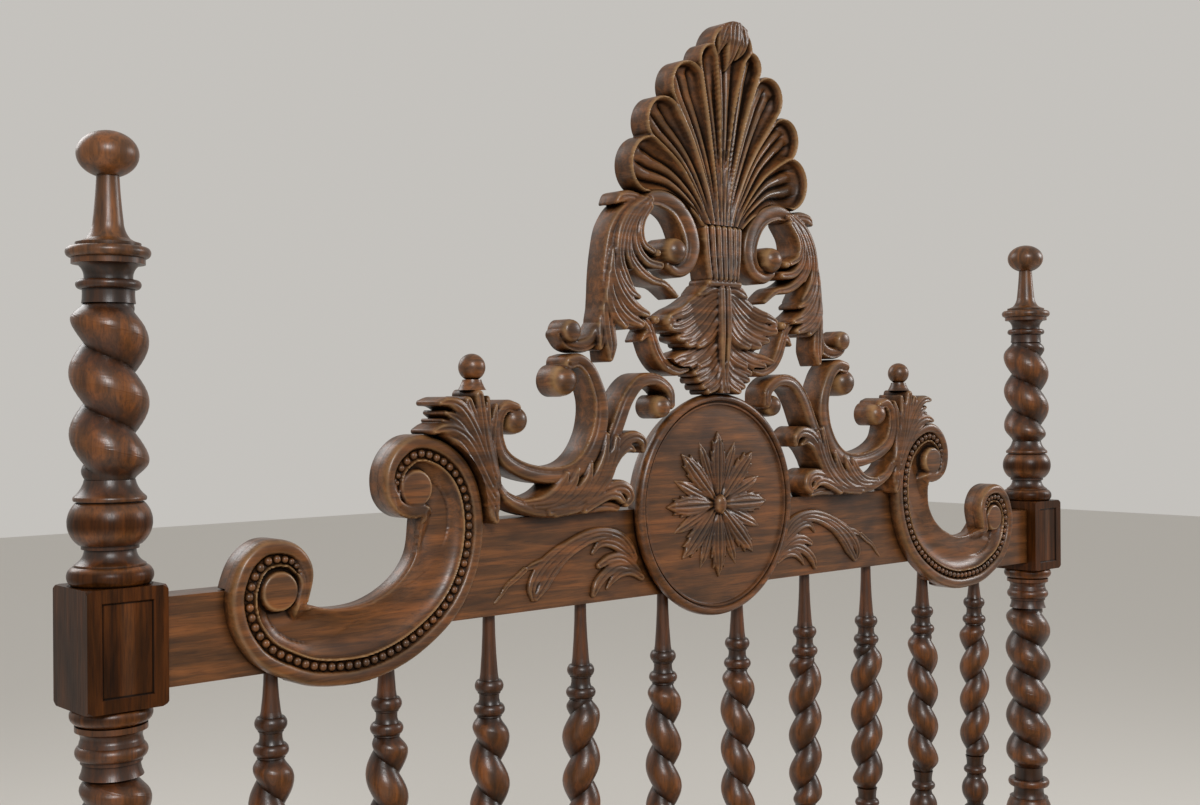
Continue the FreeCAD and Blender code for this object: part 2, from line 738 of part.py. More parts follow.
def spindle_housings():
    radius = spindle_radius * spindle_group_shares[-1][1] * spindle_neck_shares[-1][1] + joint_clearance
    housings = []
    for index in range(spindle_count):
        start = (spindle_x(index), rail_centre_y(1), scroll_bottom - overrun)
        top = head_spindle_top(index) + spindle_tenon_length + overrun
        housings.append(cylinder(start, radius, top - start[2], (0, 0, 1)))
    return housings


def scroll_bracket(rail):
    y = rail_front_y() - scroll_proud
    curve = spline([scroll_point(share, y) for share in scroll_outline_shares])
    ends = [scroll_point(scroll_outline_shares[-1], y), scroll_point(scroll_outline_shares[0], y)]
    opening = spline(ends[:1] + [scroll_point(share, y) for share in scroll_opening_shares] + ends[1:])
    blank = board([curve.toShape(), opening.toShape()], scroll_thickness)
    return blank.cut([rail, scroll_field(curve, y)] + spindle_housings())


def facing_front(shape, y, height):
    shape.rotate(Vector(0, 0, 0), Vector(1, 0, 0), 90)
    shape.translate(Vector(0, y, height))
    return shape


def medallion(rail):
    thickness = rail_front + medallion_proud - carving_back
    field = ((thickness - medallion_field_depth) / thickness, medallion_field_share, 0)
    disc = turned((0, 0), medallion_shares + (field,), medallion_radius, thickness, 0)
    return facing_front(disc, half_length - carving_back, crest_rail_top).cut([rail] + spindle_housings())


def petal_edges(index):
    reach = rosette_radius * (short_petal_share if index % 2 else 1)
    step = 2 * math.pi / petal_count
    middle = index * step
    side_reach = reach * petal_side_share
    spread = step * petal_width_share
    places = (
        (rosette_valley_radius, middle - step / 2), (side_reach, middle - spread), (reach, middle),
        (side_reach, middle + spread), (rosette_valley_radius, middle + step / 2),
    )
    valley, side, tip, far_side, far_valley = [
        Vector(radius * math.cos(angle), radius * math.sin(angle), 0) for radius, angle in places
    ]
    return [Part.Arc(valley, side, tip).toShape(), Part.Arc(tip, far_side, far_valley).toShape()]


def rosette():
    edges = []
    for index in range(petal_count):
        edges += petal_edges(index)
    petals = Part.Face(Part.Wire(edges)).extrude(Vector(0, 0, rosette_thickness))
    boss = Part.makeSphere(boss_radius, Vector(0, 0, rosette_thickness), Vector(0, 0, 1), 0, 90, 360)
    y = rail_front_y() - medallion_proud + medallion_field_depth
    return facing_front(stacked([petals, boss]), y, crest_rail_top)


def crest_point(share, y):
    return Vector(share[0] * scroll_inner_x, y, crest_rail_top + share[1] * crest_height)


def strap_outline(spine_shares, width_shares, y):
    spine = spline([crest_point(share, y) for share in spine_shares])
    first, last = spine.FirstParameter, spine.LastParameter
    steps_per_point = 3
    count = steps_per_point * len(spine_shares)
    sides = ([], [])
    for step in range(count + 1):
        along = step / count
        point = spine.value(first + (last - first) * along)
        tangent = spine.tangent(first + (last - first) * along)[0]
        place = along * (len(width_shares) - 1)
        lower = min(int(place), len(width_shares) - 2)
        width = width_shares[lower] + (width_shares[lower + 1] - width_shares[lower]) * (place - lower)
        across = Vector(tangent.z, 0, -tangent.x) * (width * scroll_inner_x / 2)
        sides[0].append(point + across)
        sides[1].append(point - across)
    left, right = [spline(side).toShape() for side in sides]
    caps = [Part.makeLine(sides[0][-1], sides[1][-1]), Part.makeLine(sides[0][0], sides[1][0])]
    return [left, caps[0], right, caps[1]]


def strap(spine_shares, width_shares, overhang, thickness):
    edges = Part.__sortEdges__(strap_outline(spine_shares, width_shares, rail_front_y() - overhang))
    return board(edges, thickness)


def eye(shares, overhang, thickness):
    x, z, radius = shares
    centre = crest_point((x, z), rail_front_y() - overhang)
    return cylinder(centre, radius * scroll_inner_x, thickness, (0, 1, 0))


def leaf_board(shares, overhang, thickness):
    points = [crest_point(share, rail_front_y() - overhang) for share in shares]
    return board(closed_lines(points), thickness)


def crest_lower_scroll(neighbours):
    pieces = [strap(open_scroll_shares, open_scroll_width_shares, crest_overhang, crest_thickness)]
    pieces.append(strap(tendril_shares, tendril_width_shares, crest_overhang, crest_thickness))
    pieces.append(leaf_board(spray_shares, crest_overhang, crest_thickness))
    pieces.append(leaf_board(acanthus_shares, crest_overhang, crest_thickness))
    pieces += [eye(shares, crest_overhang, crest_thickness) for shares in crest_eye_shares[0]]
    return stacked(pieces).cut(neighbours)


def crest_upper_scroll(neighbours):
    pieces = [strap(pillar_shares, pillar_width_shares, crest_upper_overhang, crest_upper_thickness)]
    for spine_shares, width_shares in zip(pillar_leaf_shares, pillar_leaf_width_shares):
        pieces.append(strap(spine_shares, width_shares, crest_upper_overhang, crest_upper_thickness))
    pieces += [eye(shares, crest_upper_overhang, crest_upper_thickness) for shares in crest_eye_shares[1]]
    return stacked(pieces).cut(neighbours)


def mirrored_shares(shares):
    return list(shares) + [(-x, z) for x, z in reversed(shares) if x]


def crest_pendant(neighbours):
    leaf = leaf_board(mirrored_shares(pendant_shares), crest_upper_overhang, pendant_thickness)
    return leaf.cut(neighbours)


def crest_ball(side):
    base = crest_point(crest_ball_place_share, 0)
    axis = (side * base.x, rail_front_y() - crest_ball_overhang)
    neck = turned(axis, crest_neck_shares, crest_ball_radius, crest_ball_neck, base.z)
    ball = Part.makeSphere(crest_ball_radius)
    height = base.z + crest_ball_neck + crest_ball_radius * crest_ball_seat_share
    ball.translate(Vector(axis[0], axis[1], height))
    return stacked([neck, ball])


# The shell: a leaning, fluted palmette with nine lobes

def shell_front(share):
    low = shell_notch_shares[0][1]
    rise = (share - low) / (1 - low)
    return rail_front_y() - shell_overhang - shell_lean * rise ** shell_curl_share


def shell_side_profile():
    steps = 8
    low = shell_notch_shares[0][1]
    levels = [low + (1 - low) * step / steps for step in range(steps + 1)]
    front = [Vector(0, shell_front(level), crest_rail_top + level * crest_height) for level in levels]
    back = [point + Vector(0, shell_thickness, 0) for point in front]
    edges = [spline(front).toShape(), Part.makeLine(front[-1], back[-1]), spline(back).toShape(),
             Part.makeLine(back[0], front[0])]
    profile = Part.Face(Part.Wire(Part.__sortEdges__(edges)))
    profile.translate(Vector(-scroll_inner_x, 0, 0))
    return profile.extrude(Vector(2 * scroll_inner_x, 0, 0))


def shell_outline(y):
    notches = [crest_point(share, y) for share in shell_notch_shares]
    half = [Part.makeLine(notches[0], notches[1])]
    for start, bulge, end in zip(notches[1:], shell_lobe_bulge_shares, notches[2:]):
        chord = end - start
        lobe = (start + end) / 2 + Vector(chord.z, 0, -chord.x) * bulge
        half.append(Part.Arc(start, lobe, end).toShape())
    apex = crest_point((0, 1), y)
    top = Part.Arc(notches[-1], apex, Vector(-notches[-1].x, y, notches[-1].z)).toShape()
    foot = Part.makeLine(Vector(-notches[0].x, y, notches[0].z), notches[0])
    return Part.__sortEdges__(half + [top, foot] + [mirrored(edge) for edge in half])


def flute(x, z, radius_share, side):
    radius = radius_share * scroll_inner_x
    root_y = shell_front(flute_root_share) - flute_root_radius / 2
    root = crest_point((side * x * flute_spread_share, flute_root_share), root_y)
    reach = crest_point((side * x, z), shell_front(z) - radius + flute_depth)
    axis = reach - root
    cone = Part.makeCone(flute_root_radius, radius, axis.Length, root, axis)
    return cone.fuse(Part.makeSphere(radius, reach))


def crest_shell(neighbours):
    y = rail_front_y() - shell_overhang - shell_lean - overrun
    blank = board(shell_outline(y), shell_lean + shell_thickness + 2 * overrun)
    shell = blank.common(shell_side_profile())
    flutes = []
    for x, z, radius in flute_reach_shares:
        flutes += [flute(x, z, radius, side) for side in ((-1, 1) if x else (1,))]
    return shell.cut(flutes).cut(neighbours)


# Side rails, ledgers and slats

def side_rail(side):
    length = bed_length - block_side
    middle = (side_rail_bottom + side_rail_top) / 2
    rail = centred_box((side * side_rail_x, 0, middle), (side_rail_thickness, length, side_rail_height))
    rail = stacked([rail] + [side_tenon(side, end, 0) for end in (-1, 1)])
    cuts = []
    for end in (-1, 1):
        reach = bolt_length + block_side
        cuts.append(bolt_bore(side, end, bolt_radius + bolt_clearance, reach))
        cuts.append(nut_pocket(side, end))
    return rail.cut(cuts)


def nut_y(end):
    return end * (half_length - half_block - nut_setback)


def nut_pocket(side, end):
    depth = side_rail_thickness / 2 + nut_side / 2 + overrun
    x = side * (side_rail_x - side_rail_thickness / 2 - overrun + depth / 2)
    fit = 2 * bolt_clearance
    return centred_box((x, nut_y(end), bolt_height()), (depth, nut_thickness + fit, nut_side + fit))


def ledger(side):
    length = bed_length - block_side
    x = side * (side_rail_x - side_rail_thickness / 2 - ledger_width / 2)
    return centred_box((x, 0, ledger_top - ledger_height / 2), (ledger_width, length, ledger_height))


def slat(index):
    run = bed_length - block_side - 2 * slat_margin - slat_width
    y = -run / 2 + index * run / (slat_count - 1)
    length = 2 * (side_rail_x - side_rail_thickness / 2 - slat_end_gap)
    return centred_box((0, y, ledger_top + slat_thickness / 2), (length, slat_width, slat_thickness))


def bed_bolt(side, end):
    head_y = end * (half_length + half_block - bolt_recess_depth)
    start = (side * side_rail_x, head_y, bolt_height())
    head = cylinder(start, bolt_head_radius, bolt_head_height, (0, end, 0))
    top = (start[0], head_y + end * overrun, start[2])
    shank = cylinder(top, bolt_radius, bolt_length + overrun, (0, -end, 0))
    return stacked([head, shank])


def bed_nut(side, end):
    nut = centred_box((side * side_rail_x, nut_y(end), bolt_height()), (nut_side, nut_thickness, nut_side))
    start = (side * side_rail_x, nut_y(end) + nut_thickness, bolt_height())
    bore = cylinder(start, bolt_radius + joint_clearance, 2 * nut_thickness, (0, -1, 0))
    return nut.cut(bore)


def corners(make):
    return Part.makeCompound([make(side, end) for side in (-1, 1) for end in (-1, 1)])


# The whole bed

def headboard():
    nodes = {}
    rail = headboard_top_rail()
    bracket = scroll_bracket(rail)
    disc = medallion(rail)
    lower_scroll = crest_lower_scroll([rail, bracket, disc])
    upper_scroll = crest_upper_scroll([lower_scroll])
    scrolls = [lower_scroll, upper_scroll]
    pendant = crest_pendant([disc] + scrolls + [mirrored(scroll) for scroll in scrolls])
    nodes["headboard_top_rail"] = rail
    nodes["headboard_lower_rail"] = lower_rail(1)
    nodes["medallion_disc"] = disc
    nodes["medallion_rosette"] = rosette()
    for name, shape in (("scroll_bracket", bracket), ("crest_lower_scroll", lower_scroll),
                        ("crest_upper_scroll", upper_scroll)):
        nodes[name + "_right"] = shape
        nodes[name + "_left"] = mirrored(shape)
    nodes["crest_ball_right"] = crest_ball(1)
    nodes["crest_ball_left"] = crest_ball(-1)
    nodes["crest_pendant"] = pendant
    nodes["crest_shell"] = crest_shell([pendant, upper_scroll, mirrored(upper_scroll)])
    for index in range(spindle_count):
        nodes["headboard_spindle_%02d" % (index + 1)] = head_spindle(index)
    return nodes


def footboard():
    nodes = {"footboard_top_rail": footboard_top_rail(), "footboard_lower_rail": lower_rail(-1)}
    for index in range(spindle_count):
        nodes["footboard_spindle_%02d" % (index + 1)] = foot_spindle(index)
    return nodes


def frame():
    nodes = {}
    for side, hand in ((-1, "left"), (1, "right")):
        for end, board_name in ((1, "headboard"), (-1, "footboard")):
            post, top = finished_post(side, end)
            nodes["%s_post_%s" % (board_name, hand)] = post
            nodes["%s_finial_%s" % (board_name, hand)] = top
        nodes["side_rail_" + hand] = side_rail(side)
        nodes["slat_ledger_" + hand] = ledger(side)
    for index in range(slat_count):
        nodes["slat_%02d" % (index + 1)] = slat(index)
    nodes["bed_bolts"] = corners(bed_bolt)
    nodes["bed_bolt_nuts"] = corners(bed_nut)
    return nodes


def main():
    os.makedirs("parts", exist_ok=True)
    nodes = {**frame(), **headboard(), **footboard()}
    for name, shape in nodes.items():
        shape.exportStep("parts/%s.step" % name)
        print(name, len(shape.Solids), shape.isValid(), round(shape.Volume))


main()
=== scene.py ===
import math

import bpy
import numpy as np
from bpy.props import FloatProperty, FloatVectorProperty, IntProperty, PointerProperty
from mathutils import Matrix, Vector


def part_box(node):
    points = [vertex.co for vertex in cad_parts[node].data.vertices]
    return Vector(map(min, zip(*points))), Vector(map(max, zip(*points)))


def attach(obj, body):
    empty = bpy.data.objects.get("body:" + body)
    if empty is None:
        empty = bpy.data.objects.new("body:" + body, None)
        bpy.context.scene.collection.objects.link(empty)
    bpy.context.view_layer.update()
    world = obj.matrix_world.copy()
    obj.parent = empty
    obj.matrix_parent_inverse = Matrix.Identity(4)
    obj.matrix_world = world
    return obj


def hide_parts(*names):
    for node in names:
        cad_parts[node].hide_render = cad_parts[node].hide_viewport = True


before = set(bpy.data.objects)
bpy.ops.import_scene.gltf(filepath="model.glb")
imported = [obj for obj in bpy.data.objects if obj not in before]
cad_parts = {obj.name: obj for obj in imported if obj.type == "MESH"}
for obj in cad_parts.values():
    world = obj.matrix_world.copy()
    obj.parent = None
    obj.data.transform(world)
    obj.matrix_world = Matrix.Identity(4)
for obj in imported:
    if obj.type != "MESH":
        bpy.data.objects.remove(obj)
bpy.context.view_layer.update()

bl_info = {
    "name": "Spiral post bed",
    "version": (1, 0, 0),
    "blender": (4, 5, 0),
    "location": "3D View > Sidebar > Bed",
    "description": "Carving, turning and finish of a spiral post bed",
    "category": "Object",
}

MM = 0.001
BODY = "bed_frame"
RAIL_LOW, RAIL_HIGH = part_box("headboard_top_rail")
RAIL_FRONT = RAIL_LOW.y / MM
CREST_BASE = RAIL_HIGH.z / MM

# Each row of turned pieces, in millimetres: the spacing of its axes, their distance from the middle of the bed's
# length, and the radius of the twist's valleys and crests
SPINDLE_PITCH = 132.0
SPINDLE_ROW = (SPINDLE_PITCH, 1026.0, 11.5, 21.7)
POST_ROW = (1500.0, 1030.0, 20.5, 34.2)
# The panels sunk into the posts: their distance from the middle of the bed's width, their levels, half their width
# and height, the distance between head and foot posts, and how far from the bed's middle the fronts lie
POST_PANELS = (750.0, (1138.5, 747.5), 22.6, 40.6, 2060.0, 994.9)
# How far apart the streaks stand across and along the grain, how fine and how bent they are
FIGURE, PORES, CLOUDS = (9.0, 130.0, 4.0, 0.6), (1.6, 30.0, 3.0, 0.2), (60.0, 120.0, 3.0, 0.3)
PINE_LINES, STEEL_MOTTLE = (7.0, 260.0, 3.0, 0.4), (4.0, 4.0, 3.0, 0.0)
# Where each lamp stands and aims, its width and its watts
LAMPS = {
    "key_lamp": ((-2.2, -2.6, 3.4), (0.0, 1.0, 1.3), 1.3, 128),
    "side_lamp": ((3.6, -0.6, 2.6), (0.2, 1.0, 1.2), 1.2, 48),
    "rear_lamp": ((-1.0, 4.0, 3.2), (0.0, 1.0, 1.3), 2.0, 40),
}
STUDIO_GREY = "#D9D6D1"
# The camera that took the photograph: place, turn to the right, rise and roll in degrees, and focal length in pixels
CAMERA_PLACE, CAMERA_TURNS = (-1.2932, -0.2145, 1.350), (42.274, 0.015, -0.382)
FOCAL_PIXELS, PICTURE_PIXELS, SENSOR_WIDTH = 1450.1, 1200, 36


# Colours and nodes

def linear(hex_code):
    """The linear colour of an sRGB hex code."""
    shares = [int(hex_code[i:i + 2], 16) / 255 for i in (1, 3, 5)]
    return [s / 12.92 if s <= 0.04045 else ((s + 0.055) / 1.055) ** 2.4 for s in shares] + [1.0]


def nodes_of(owner):
    """The emptied node tree of a new material or world."""
    owner.use_nodes = True
    owner.node_tree.nodes.clear()
    return owner.node_tree


def add(tree, kind, settings=(), **links):
    """Adds a shader node, sets its values and links its inputs."""
    node = tree.nodes.new("ShaderNode" + kind)
    for key, value in dict(settings).items():
        if key in node.inputs:
            node.inputs[key].default_value = value
        else:
            setattr(node, key, value)
    for key, socket in links.items():
        tree.links.new(socket, node.inputs[key.replace("_", " ")])
    return node


def plugged(tree, node, values):
    """Links or sets the numbered inputs of a node; the values are sockets or numbers."""
    for index, value in values:
        if isinstance(value, bpy.types.NodeSocket):
            tree.links.new(value, node.inputs[index])
        else:
            node.inputs[index].default_value = value


def ramp(tree, socket, stops):
    """Colours a value; the stops are pairs of a value and a colour."""
    node = add(tree, "ValToRGB", (), Fac=socket)
    elements = node.color_ramp.elements
    while len(elements) < len(stops):
        elements.new(0.5)
    for element, (place, colour) in zip(elements, stops):
        element.position = place
        element.color = colour if len(colour) == 4 else linear(colour)
    return node.outputs["Color"]


def mixed(tree, kind, share, low, high):
    """Mixes two colours."""
    node = add(tree, "Mix", {"data_type": "RGBA", "blend_type": kind})
    plugged(tree, node, ((0, share), (6, low), (7, high)))
    return node.outputs[2]


def graph(tree, kind, *values, clamp=False):
    """One step of arithmetic."""
    node = add(tree, "Math", {"operation": kind, "use_clamp": clamp})
    plugged(tree, node, enumerate(values))
    return node.outputs[0]


def spread(tree, socket, low, high, out_low, out_high):
    """Carries one range of values over to another."""
    limits = {"From Min": low, "From Max": high, "To Min": out_low, "To Max": out_high}
    return add(tree, "MapRange", limits, Value=socket).outputs["Result"]


def place_on(tree):
    """Each place on a piece, in the piece's own coordinates."""
    return add(tree, "TexCoord").outputs["Object"]


def finished(tree, settings=(), **links):
    """Ends a material in one shader."""
    shader = add(tree, "BsdfPrincipled", settings, **links)
    add(tree, "OutputMaterial", (), Surface=shader.outputs["BSDF"])


# Materials

# Which of the axes x, y and z run across the grain
GRAIN_AXES = {"upright": (1, 1, 0), "across": (0, 1, 1), "lengthwise": (1, 0, 1)}


def grain(tree, axis, streaks, roughness=0.5):
    """Noise drawn out along the grain."""
    across_mm, along_mm, detail, distortion = streaks
    scale = [1 / ((across_mm if across else along_mm) * MM) for across in GRAIN_AXES[axis]]
    spot = add(tree, "Mapping", {"Scale": scale}, Vector=place_on(tree)).outputs["Vector"]
    noise = add(tree, "TexNoise", {"Scale": 1.0, "Detail": detail, "Roughness": roughness,
                                   "Distortion": distortion}, Vector=spot)
    return noise.outputs["Fac"]


def off_axis(tree, spacing, y):
    """How far each place is from the nearest of a row of upright axes."""
    spot = add(tree, "SeparateXYZ", (), Vector=place_on(tree))
    aside = graph(tree, "SUBTRACT", graph(tree, "WRAP", spot.outputs["X"], spacing * MM, 0.0), spacing * MM / 2)
    ahead = graph(tree, "SUBTRACT", graph(tree, "ABSOLUTE", spot.outputs["Y"]), y * MM)
    return graph(tree, "SQRT", graph(tree, "ADD", graph(tree, "MULTIPLY", aside, aside),
                                     graph(tree, "MULTIPLY", ahead, ahead)))


def panel_edge_shade(tree, x, levels, half_width, half_height, spacing, front):
    """How dark the painted shade line is at each place along the edges of the panels sunk into the fronts of the
    posts.
    """
    spot = add(tree, "SeparateXYZ", (), Vector=place_on(tree))

    def beyond(value, middle, half):
        from_middle = graph(tree, "ABSOLUTE", graph(tree, "SUBTRACT", value, middle * MM))
        return graph(tree, "SUBTRACT", from_middle, half * MM)

    aside = beyond(graph(tree, "ABSOLUTE", spot.outputs["X"]), x, half_width)
    gaps = [graph(tree, "ABSOLUTE", graph(tree, "MAXIMUM", aside, beyond(spot.outputs["Z"], level, half_height)))
            for level in levels]
    line = spread(tree, graph(tree, "MINIMUM", *gaps), 0.3 * MM, 1.2 * MM, 0.95, 0.0)
    ahead = graph(tree, "LESS_THAN", graph(tree, "WRAP", spot.outputs["Y"], spacing * MM, 0.0), front * MM)
    return graph(tree, "MULTIPLY", line, ahead)


def waxed_walnut(name, axis, colours, crevice_mm, turning=None, panels=None):
    """Old walnut, oiled dark and waxed: streaks along the grain; the high places orange-brown, partly rubbed by hands
    and partly painted highlight; painted shade, nearly black, in the low places, in crevices, in a turning's valleys
    and along the edges of sunk panels; crevice_mm is how far the painted crevice shade reaches, turning the row that
    a turned piece stands in, panels the places of sunk panels."""
    material = bpy.data.materials.new(name)
    tree = nodes_of(material)
    figure, pores, clouds = (grain(tree, axis, streaks, 0.6) for streaks in (FIGURE, PORES, CLOUDS))
    base = ramp(tree, figure, ((0.16, colours.shade), (0.44, colours.brown), (0.68, colours.amber),
                               (0.88, colours.brown)))
    for strength, noise, stops in ((0.7, clouds, ((0.32, "#7C6C64"), (0.50, "#F0E8E0"), (0.68, "#FFE6C4"))),
                                   (0.5, pores, ((0.32, "#7E6E64"), (0.50, "#FFFFFF")))):
        base = mixed(tree, "MULTIPLY", strength, base, ramp(tree, noise, stops))
    # Painted shade along the edges of the sunk panels
    if panels:
        base = mixed(tree, "MIX", panel_edge_shade(tree, *panels), base, colours.deep)
    if turning:
        spacing, y, least, most = turning
        widest = 1.5 * most
        out = spread(tree, off_axis(tree, spacing, y), 0.0, widest * MM, 0.0, 1.0)
        valley, crest = least / widest, most / widest
        # Painted shade: the twist's valleys are darkened by their radius; the crests keep the wood's colour, as
        # rubbed by hands; thinner parts below the valley radius stay lighter, and the squared parts beyond the crests
        # are a little darker
        rubbed = ramp(tree, out, ((valley * 0.82, "#C4B09E"), (valley, "#3A2A22"), ((valley + crest) / 2, "#A8906F"),
                                  (crest, "#FFF0C6"), (crest + 0.04, "#93805C")))
        base = mixed(tree, "MULTIPLY", 0.85, base, rubbed)
        squared = spread(tree, out, crest, crest + 0.04, 0.0, 0.36)
    wear = add(tree, "Attribute", {"attribute_name": "wear"}).outputs["Fac"]
    # Places standing above their surroundings turn to the worn colour, partly wear and partly painted highlight;
    # places lying below them get painted shade, nearly black
    worn_and_highlit = spread(tree, wear, 0.10, 0.75, 0.0, 0.6)
    painted_low_shade = spread(tree, wear, -0.45, -0.04, 0.92, 0.0)
    # Painted shade in crevices and corners, from ambient occlusion
    hollow = add(tree, "AmbientOcclusion", {"samples": 6, "Distance": crevice_mm * MM})
    painted_crevice_shade = spread(tree, hollow.outputs["AO"], 0.35, 0.92, 0.88, 0.0)
    for share, colour in ((worn_and_highlit, colours.worn_and_highlight), (painted_low_shade, colours.deep), (painted_crevice_shade, colours.deep)):
        base = mixed(tree, "MIX", share, base, colour)
    gloss = spread(tree, pores, 0.3, 0.7, 0.41, 0.28)
    gloss = graph(tree, "ADD", gloss, graph(tree, "MULTIPLY", painted_low_shade, 0.25), clamp=True)
    dull = graph(tree, "MAXIMUM", painted_crevice_shade, painted_low_shade)
    sheen = graph(tree, "SUBTRACT", 0.5, graph(tree, "MULTIPLY", dull, 0.48), clamp=True)
    if turning:
        sheen = graph(tree, "SUBTRACT", sheen, squared, clamp=True)
    relief = graph(tree, "ADD", graph(tree, "MULTIPLY", pores, 0.5), graph(tree, "MULTIPLY", figure, 0.6))
    bump = add(tree, "Bump", {"Strength": 0.3, "Distance": 0.5 * MM}, Height=relief)
    finished(tree, {"IOR": 1.5}, Base_Color=base, Roughness=gloss, Specular_IOR_Level=sheen,
             Normal=bump.outputs["Normal"])
    return material


def planed_pine(name, axis):
    """Bare planed softwood: pale, with darker late-wood lines a few millimetres apart."""
    material = bpy.data.materials.new(name)
    tree = nodes_of(material)
    lines = grain(tree, axis, PINE_LINES)
    base = ramp(tree, lines, ((0.34, "#8A6238"), (0.47, "#B98E5C"), (0.66, "#CBA573")))
    bump = add(tree, "Bump", {"Strength": 0.3, "Distance": 0.3 * MM}, Height=lines)
    finished(tree, (), Base_Color=base, Roughness=spread(tree, lines, 0.3, 0.7, 0.72, 0.6),
             Normal=bump.outputs["Normal"])
    return material


def blackened_steel(name):
    """Forged mild steel, blackened in oil: dull, with a slight mottle."""
    material = bpy.data.materials.new(name)
    tree = nodes_of(material)
    mottle = grain(tree, "across", STEEL_MOTTLE)
    base = ramp(tree, mottle, ((0.35, "#3A3734"), (0.65, "#5A5550")))
    finished(tree, {"Metallic": 1.0}, Base_Color=base, Roughness=spread(tree, mottle, 0.3, 0.7, 0.38, 0.55))
    return material


# Carving: points in millimetres, x from the middle of the bed and z above the crest rail

def hump(value, width):
    """A ridge that is 1 where the value is 0 and dies away at about twice the width."""
    return np.exp(-(value / width) ** 2)


def arch(value):
    """Half a circle over the values from -1 to 1."""
    return np.sqrt(np.clip(1 - value ** 2, 0, 1))


def eased(value, start, length):
    """A rise from 0 at the start to 1 at that length beyond it."""
    return np.clip((value - start) / length, 0, 1)


def drawn(points, steps=10):
    """A smooth line through the points."""
    spots = np.array(points, float)
    spots = np.vstack([2 * spots[0] - spots[1], spots, 2 * spots[-1] - spots[-2]])
    share = np.linspace(0, 1, steps, endpoint=False)[:, None]
    runs = []
    for a, b, c, d in zip(spots, spots[1:], spots[2:], spots[3:]):
        runs.append(0.5 * (2 * b + (c - a) * share + (2 * a - 5 * b + 4 * c - d) * share ** 2
                           + (3 * b - a - 3 * c + d) * share ** 3))
    return np.vstack(runs + [spots[-2:-1]])


def parts_of(path, x, z):
    """For each straight part of a line: its number, the share of it that lies before the spot nearest to each place,
    the gap to that spot, and the side of the line that the place is on."""
    for step, ((ax, az), (bx, bz)) in enumerate(zip(path, path[1:])):
        dx, dz = bx - ax, bz - az
        share = np.clip(((x - ax) * dx + (z - az) * dz) / (dx * dx + dz * dz + 1e-9), 0, 1)
        ox, oz = x - ax - share * dx, z - az - share * dz
        yield step, share, np.hypot(ox, oz), np.sign(dx * oz - dz * ox)


def line_gap(x, z, path):
    """The distance from each place to a line, and how far along the line that is."""
    gap, along = np.full(x.shape, 1e6), np.zeros(x.shape)
    for step, share, far, _ in parts_of(path, x, z):
        along = np.where(far < gap, step + share, along)
        gap = np.minimum(gap, far)
    return gap, along


def inside_of(x, z, path):
    """Whether each place lies inside a closed line."""
    within = np.zeros(x.shape, bool)
    for (ax, az), (bx, bz) in zip(path, np.roll(path, -1, axis=0)):
        crosses = (az > z) != (bz > z)
        within ^= crosses & (x < (bx - ax) * (z - az) / (bz - az + 1e-12) + ax)
    return within


def along_stroke(x, z, points, half_widths):
    """How deep each place lies inside a stroke, how far across and along it, and the stroke's half width there."""
    outside = (-1e3, 0.0, 0.0, 1.0)
    path = drawn(points)
    widths = np.interp(np.linspace(0, 1, len(path)), np.linspace(0, 1, len(half_widths)), half_widths)
    found = [np.full(x.shape, value) for value in outside]
    reach = max(half_widths) + 4
    low, high = path.min(0) - reach, path.max(0) + reach
    near = (x > low[0]) & (x < high[0]) & (z > low[1]) & (z < high[1])
    if not near.any():
        return found
    best, side, far, wide = (np.full(x[near].shape, value) for value in outside)
    closest = np.full(x[near].shape, 1e6)
    for step, share, gap, turn in parts_of(path, x[near], z[near]):
        radius = widths[step] + share * (widths[step + 1] - widths[step])
        nearer = gap < closest
        best, closest = np.maximum(best, radius - gap), np.minimum(closest, gap)
        side = np.where(nearer, turn * gap / np.maximum(radius, 0.5), side)
        far = np.where(nearer, (step + share) / (len(path) - 1), far)
        wide = np.where(nearer, radius, wide)
    for whole, part in zip(found, (best, side, far, wide)):
        whole[near] = part
    return found


def gouged(kind, across, half):
    """The height in millimetres that each kind of stroke has over the board."""
    dome = arch(across)
    if kind.startswith("band"):
        side = np.clip(across, -1, 1) * (1 if kind == "band" else -1)
        roll = 2.6 * arch((side - 0.28) / 0.66)
        lip = 1.3 * hump((side + 0.86) * half, 1.3)
        return roll + lip - 1.0
    if kind == "leaf":
        vein = -1.8 * hump(across * half, 1.4) * eased(half, 0, 4)
        sides = -1.2 * hump((np.clip(np.abs(across), 0, 1) - 0.58) * half, 1.3) * eased(half, 5, 3)
        return 2.7 * dome * np.clip(half / 6, 0.35, 1) + vein + sides
    return {"round": 0.75 * np.minimum(half, 8), "ball": half, "eye": 0.5 * half, "flat": 0}[kind] * dome


def edge_drop(depth, radius, drop):
    """The rounding of an edge, downwards from the face."""
    return drop * (arch(1 - np.clip(depth, 0, radius) / radius) - 1)


def carved(strokes, drop=3.0):
    """The depth and height of a group of strokes that overlap like leaves."""
    def field(x, z):
        inside, height, near_height = (np.full(x.shape, value) for value in (-1e3, -1e3, 0.0))
        for kind, lift, half_widths, points in strokes:
            if kind == "leaf":
                half_widths = np.array(half_widths) * np.linspace(1.35, 1.0, len(half_widths))
            depth, across, along, half = along_stroke(x, z, points, half_widths)
            level = np.interp(along, np.linspace(0, 1, len(lift)), lift) + gouged(kind, across, half)
            level = level + edge_drop(depth, min(3.0, max(half_widths) / 2), drop)
            height = np.where(depth > 0, np.maximum(height, level), height)
            near_height = np.where(depth > inside, level, near_height)
            inside = np.maximum(inside, depth)
        return inside, np.where(height > -100, height, near_height)
    return field


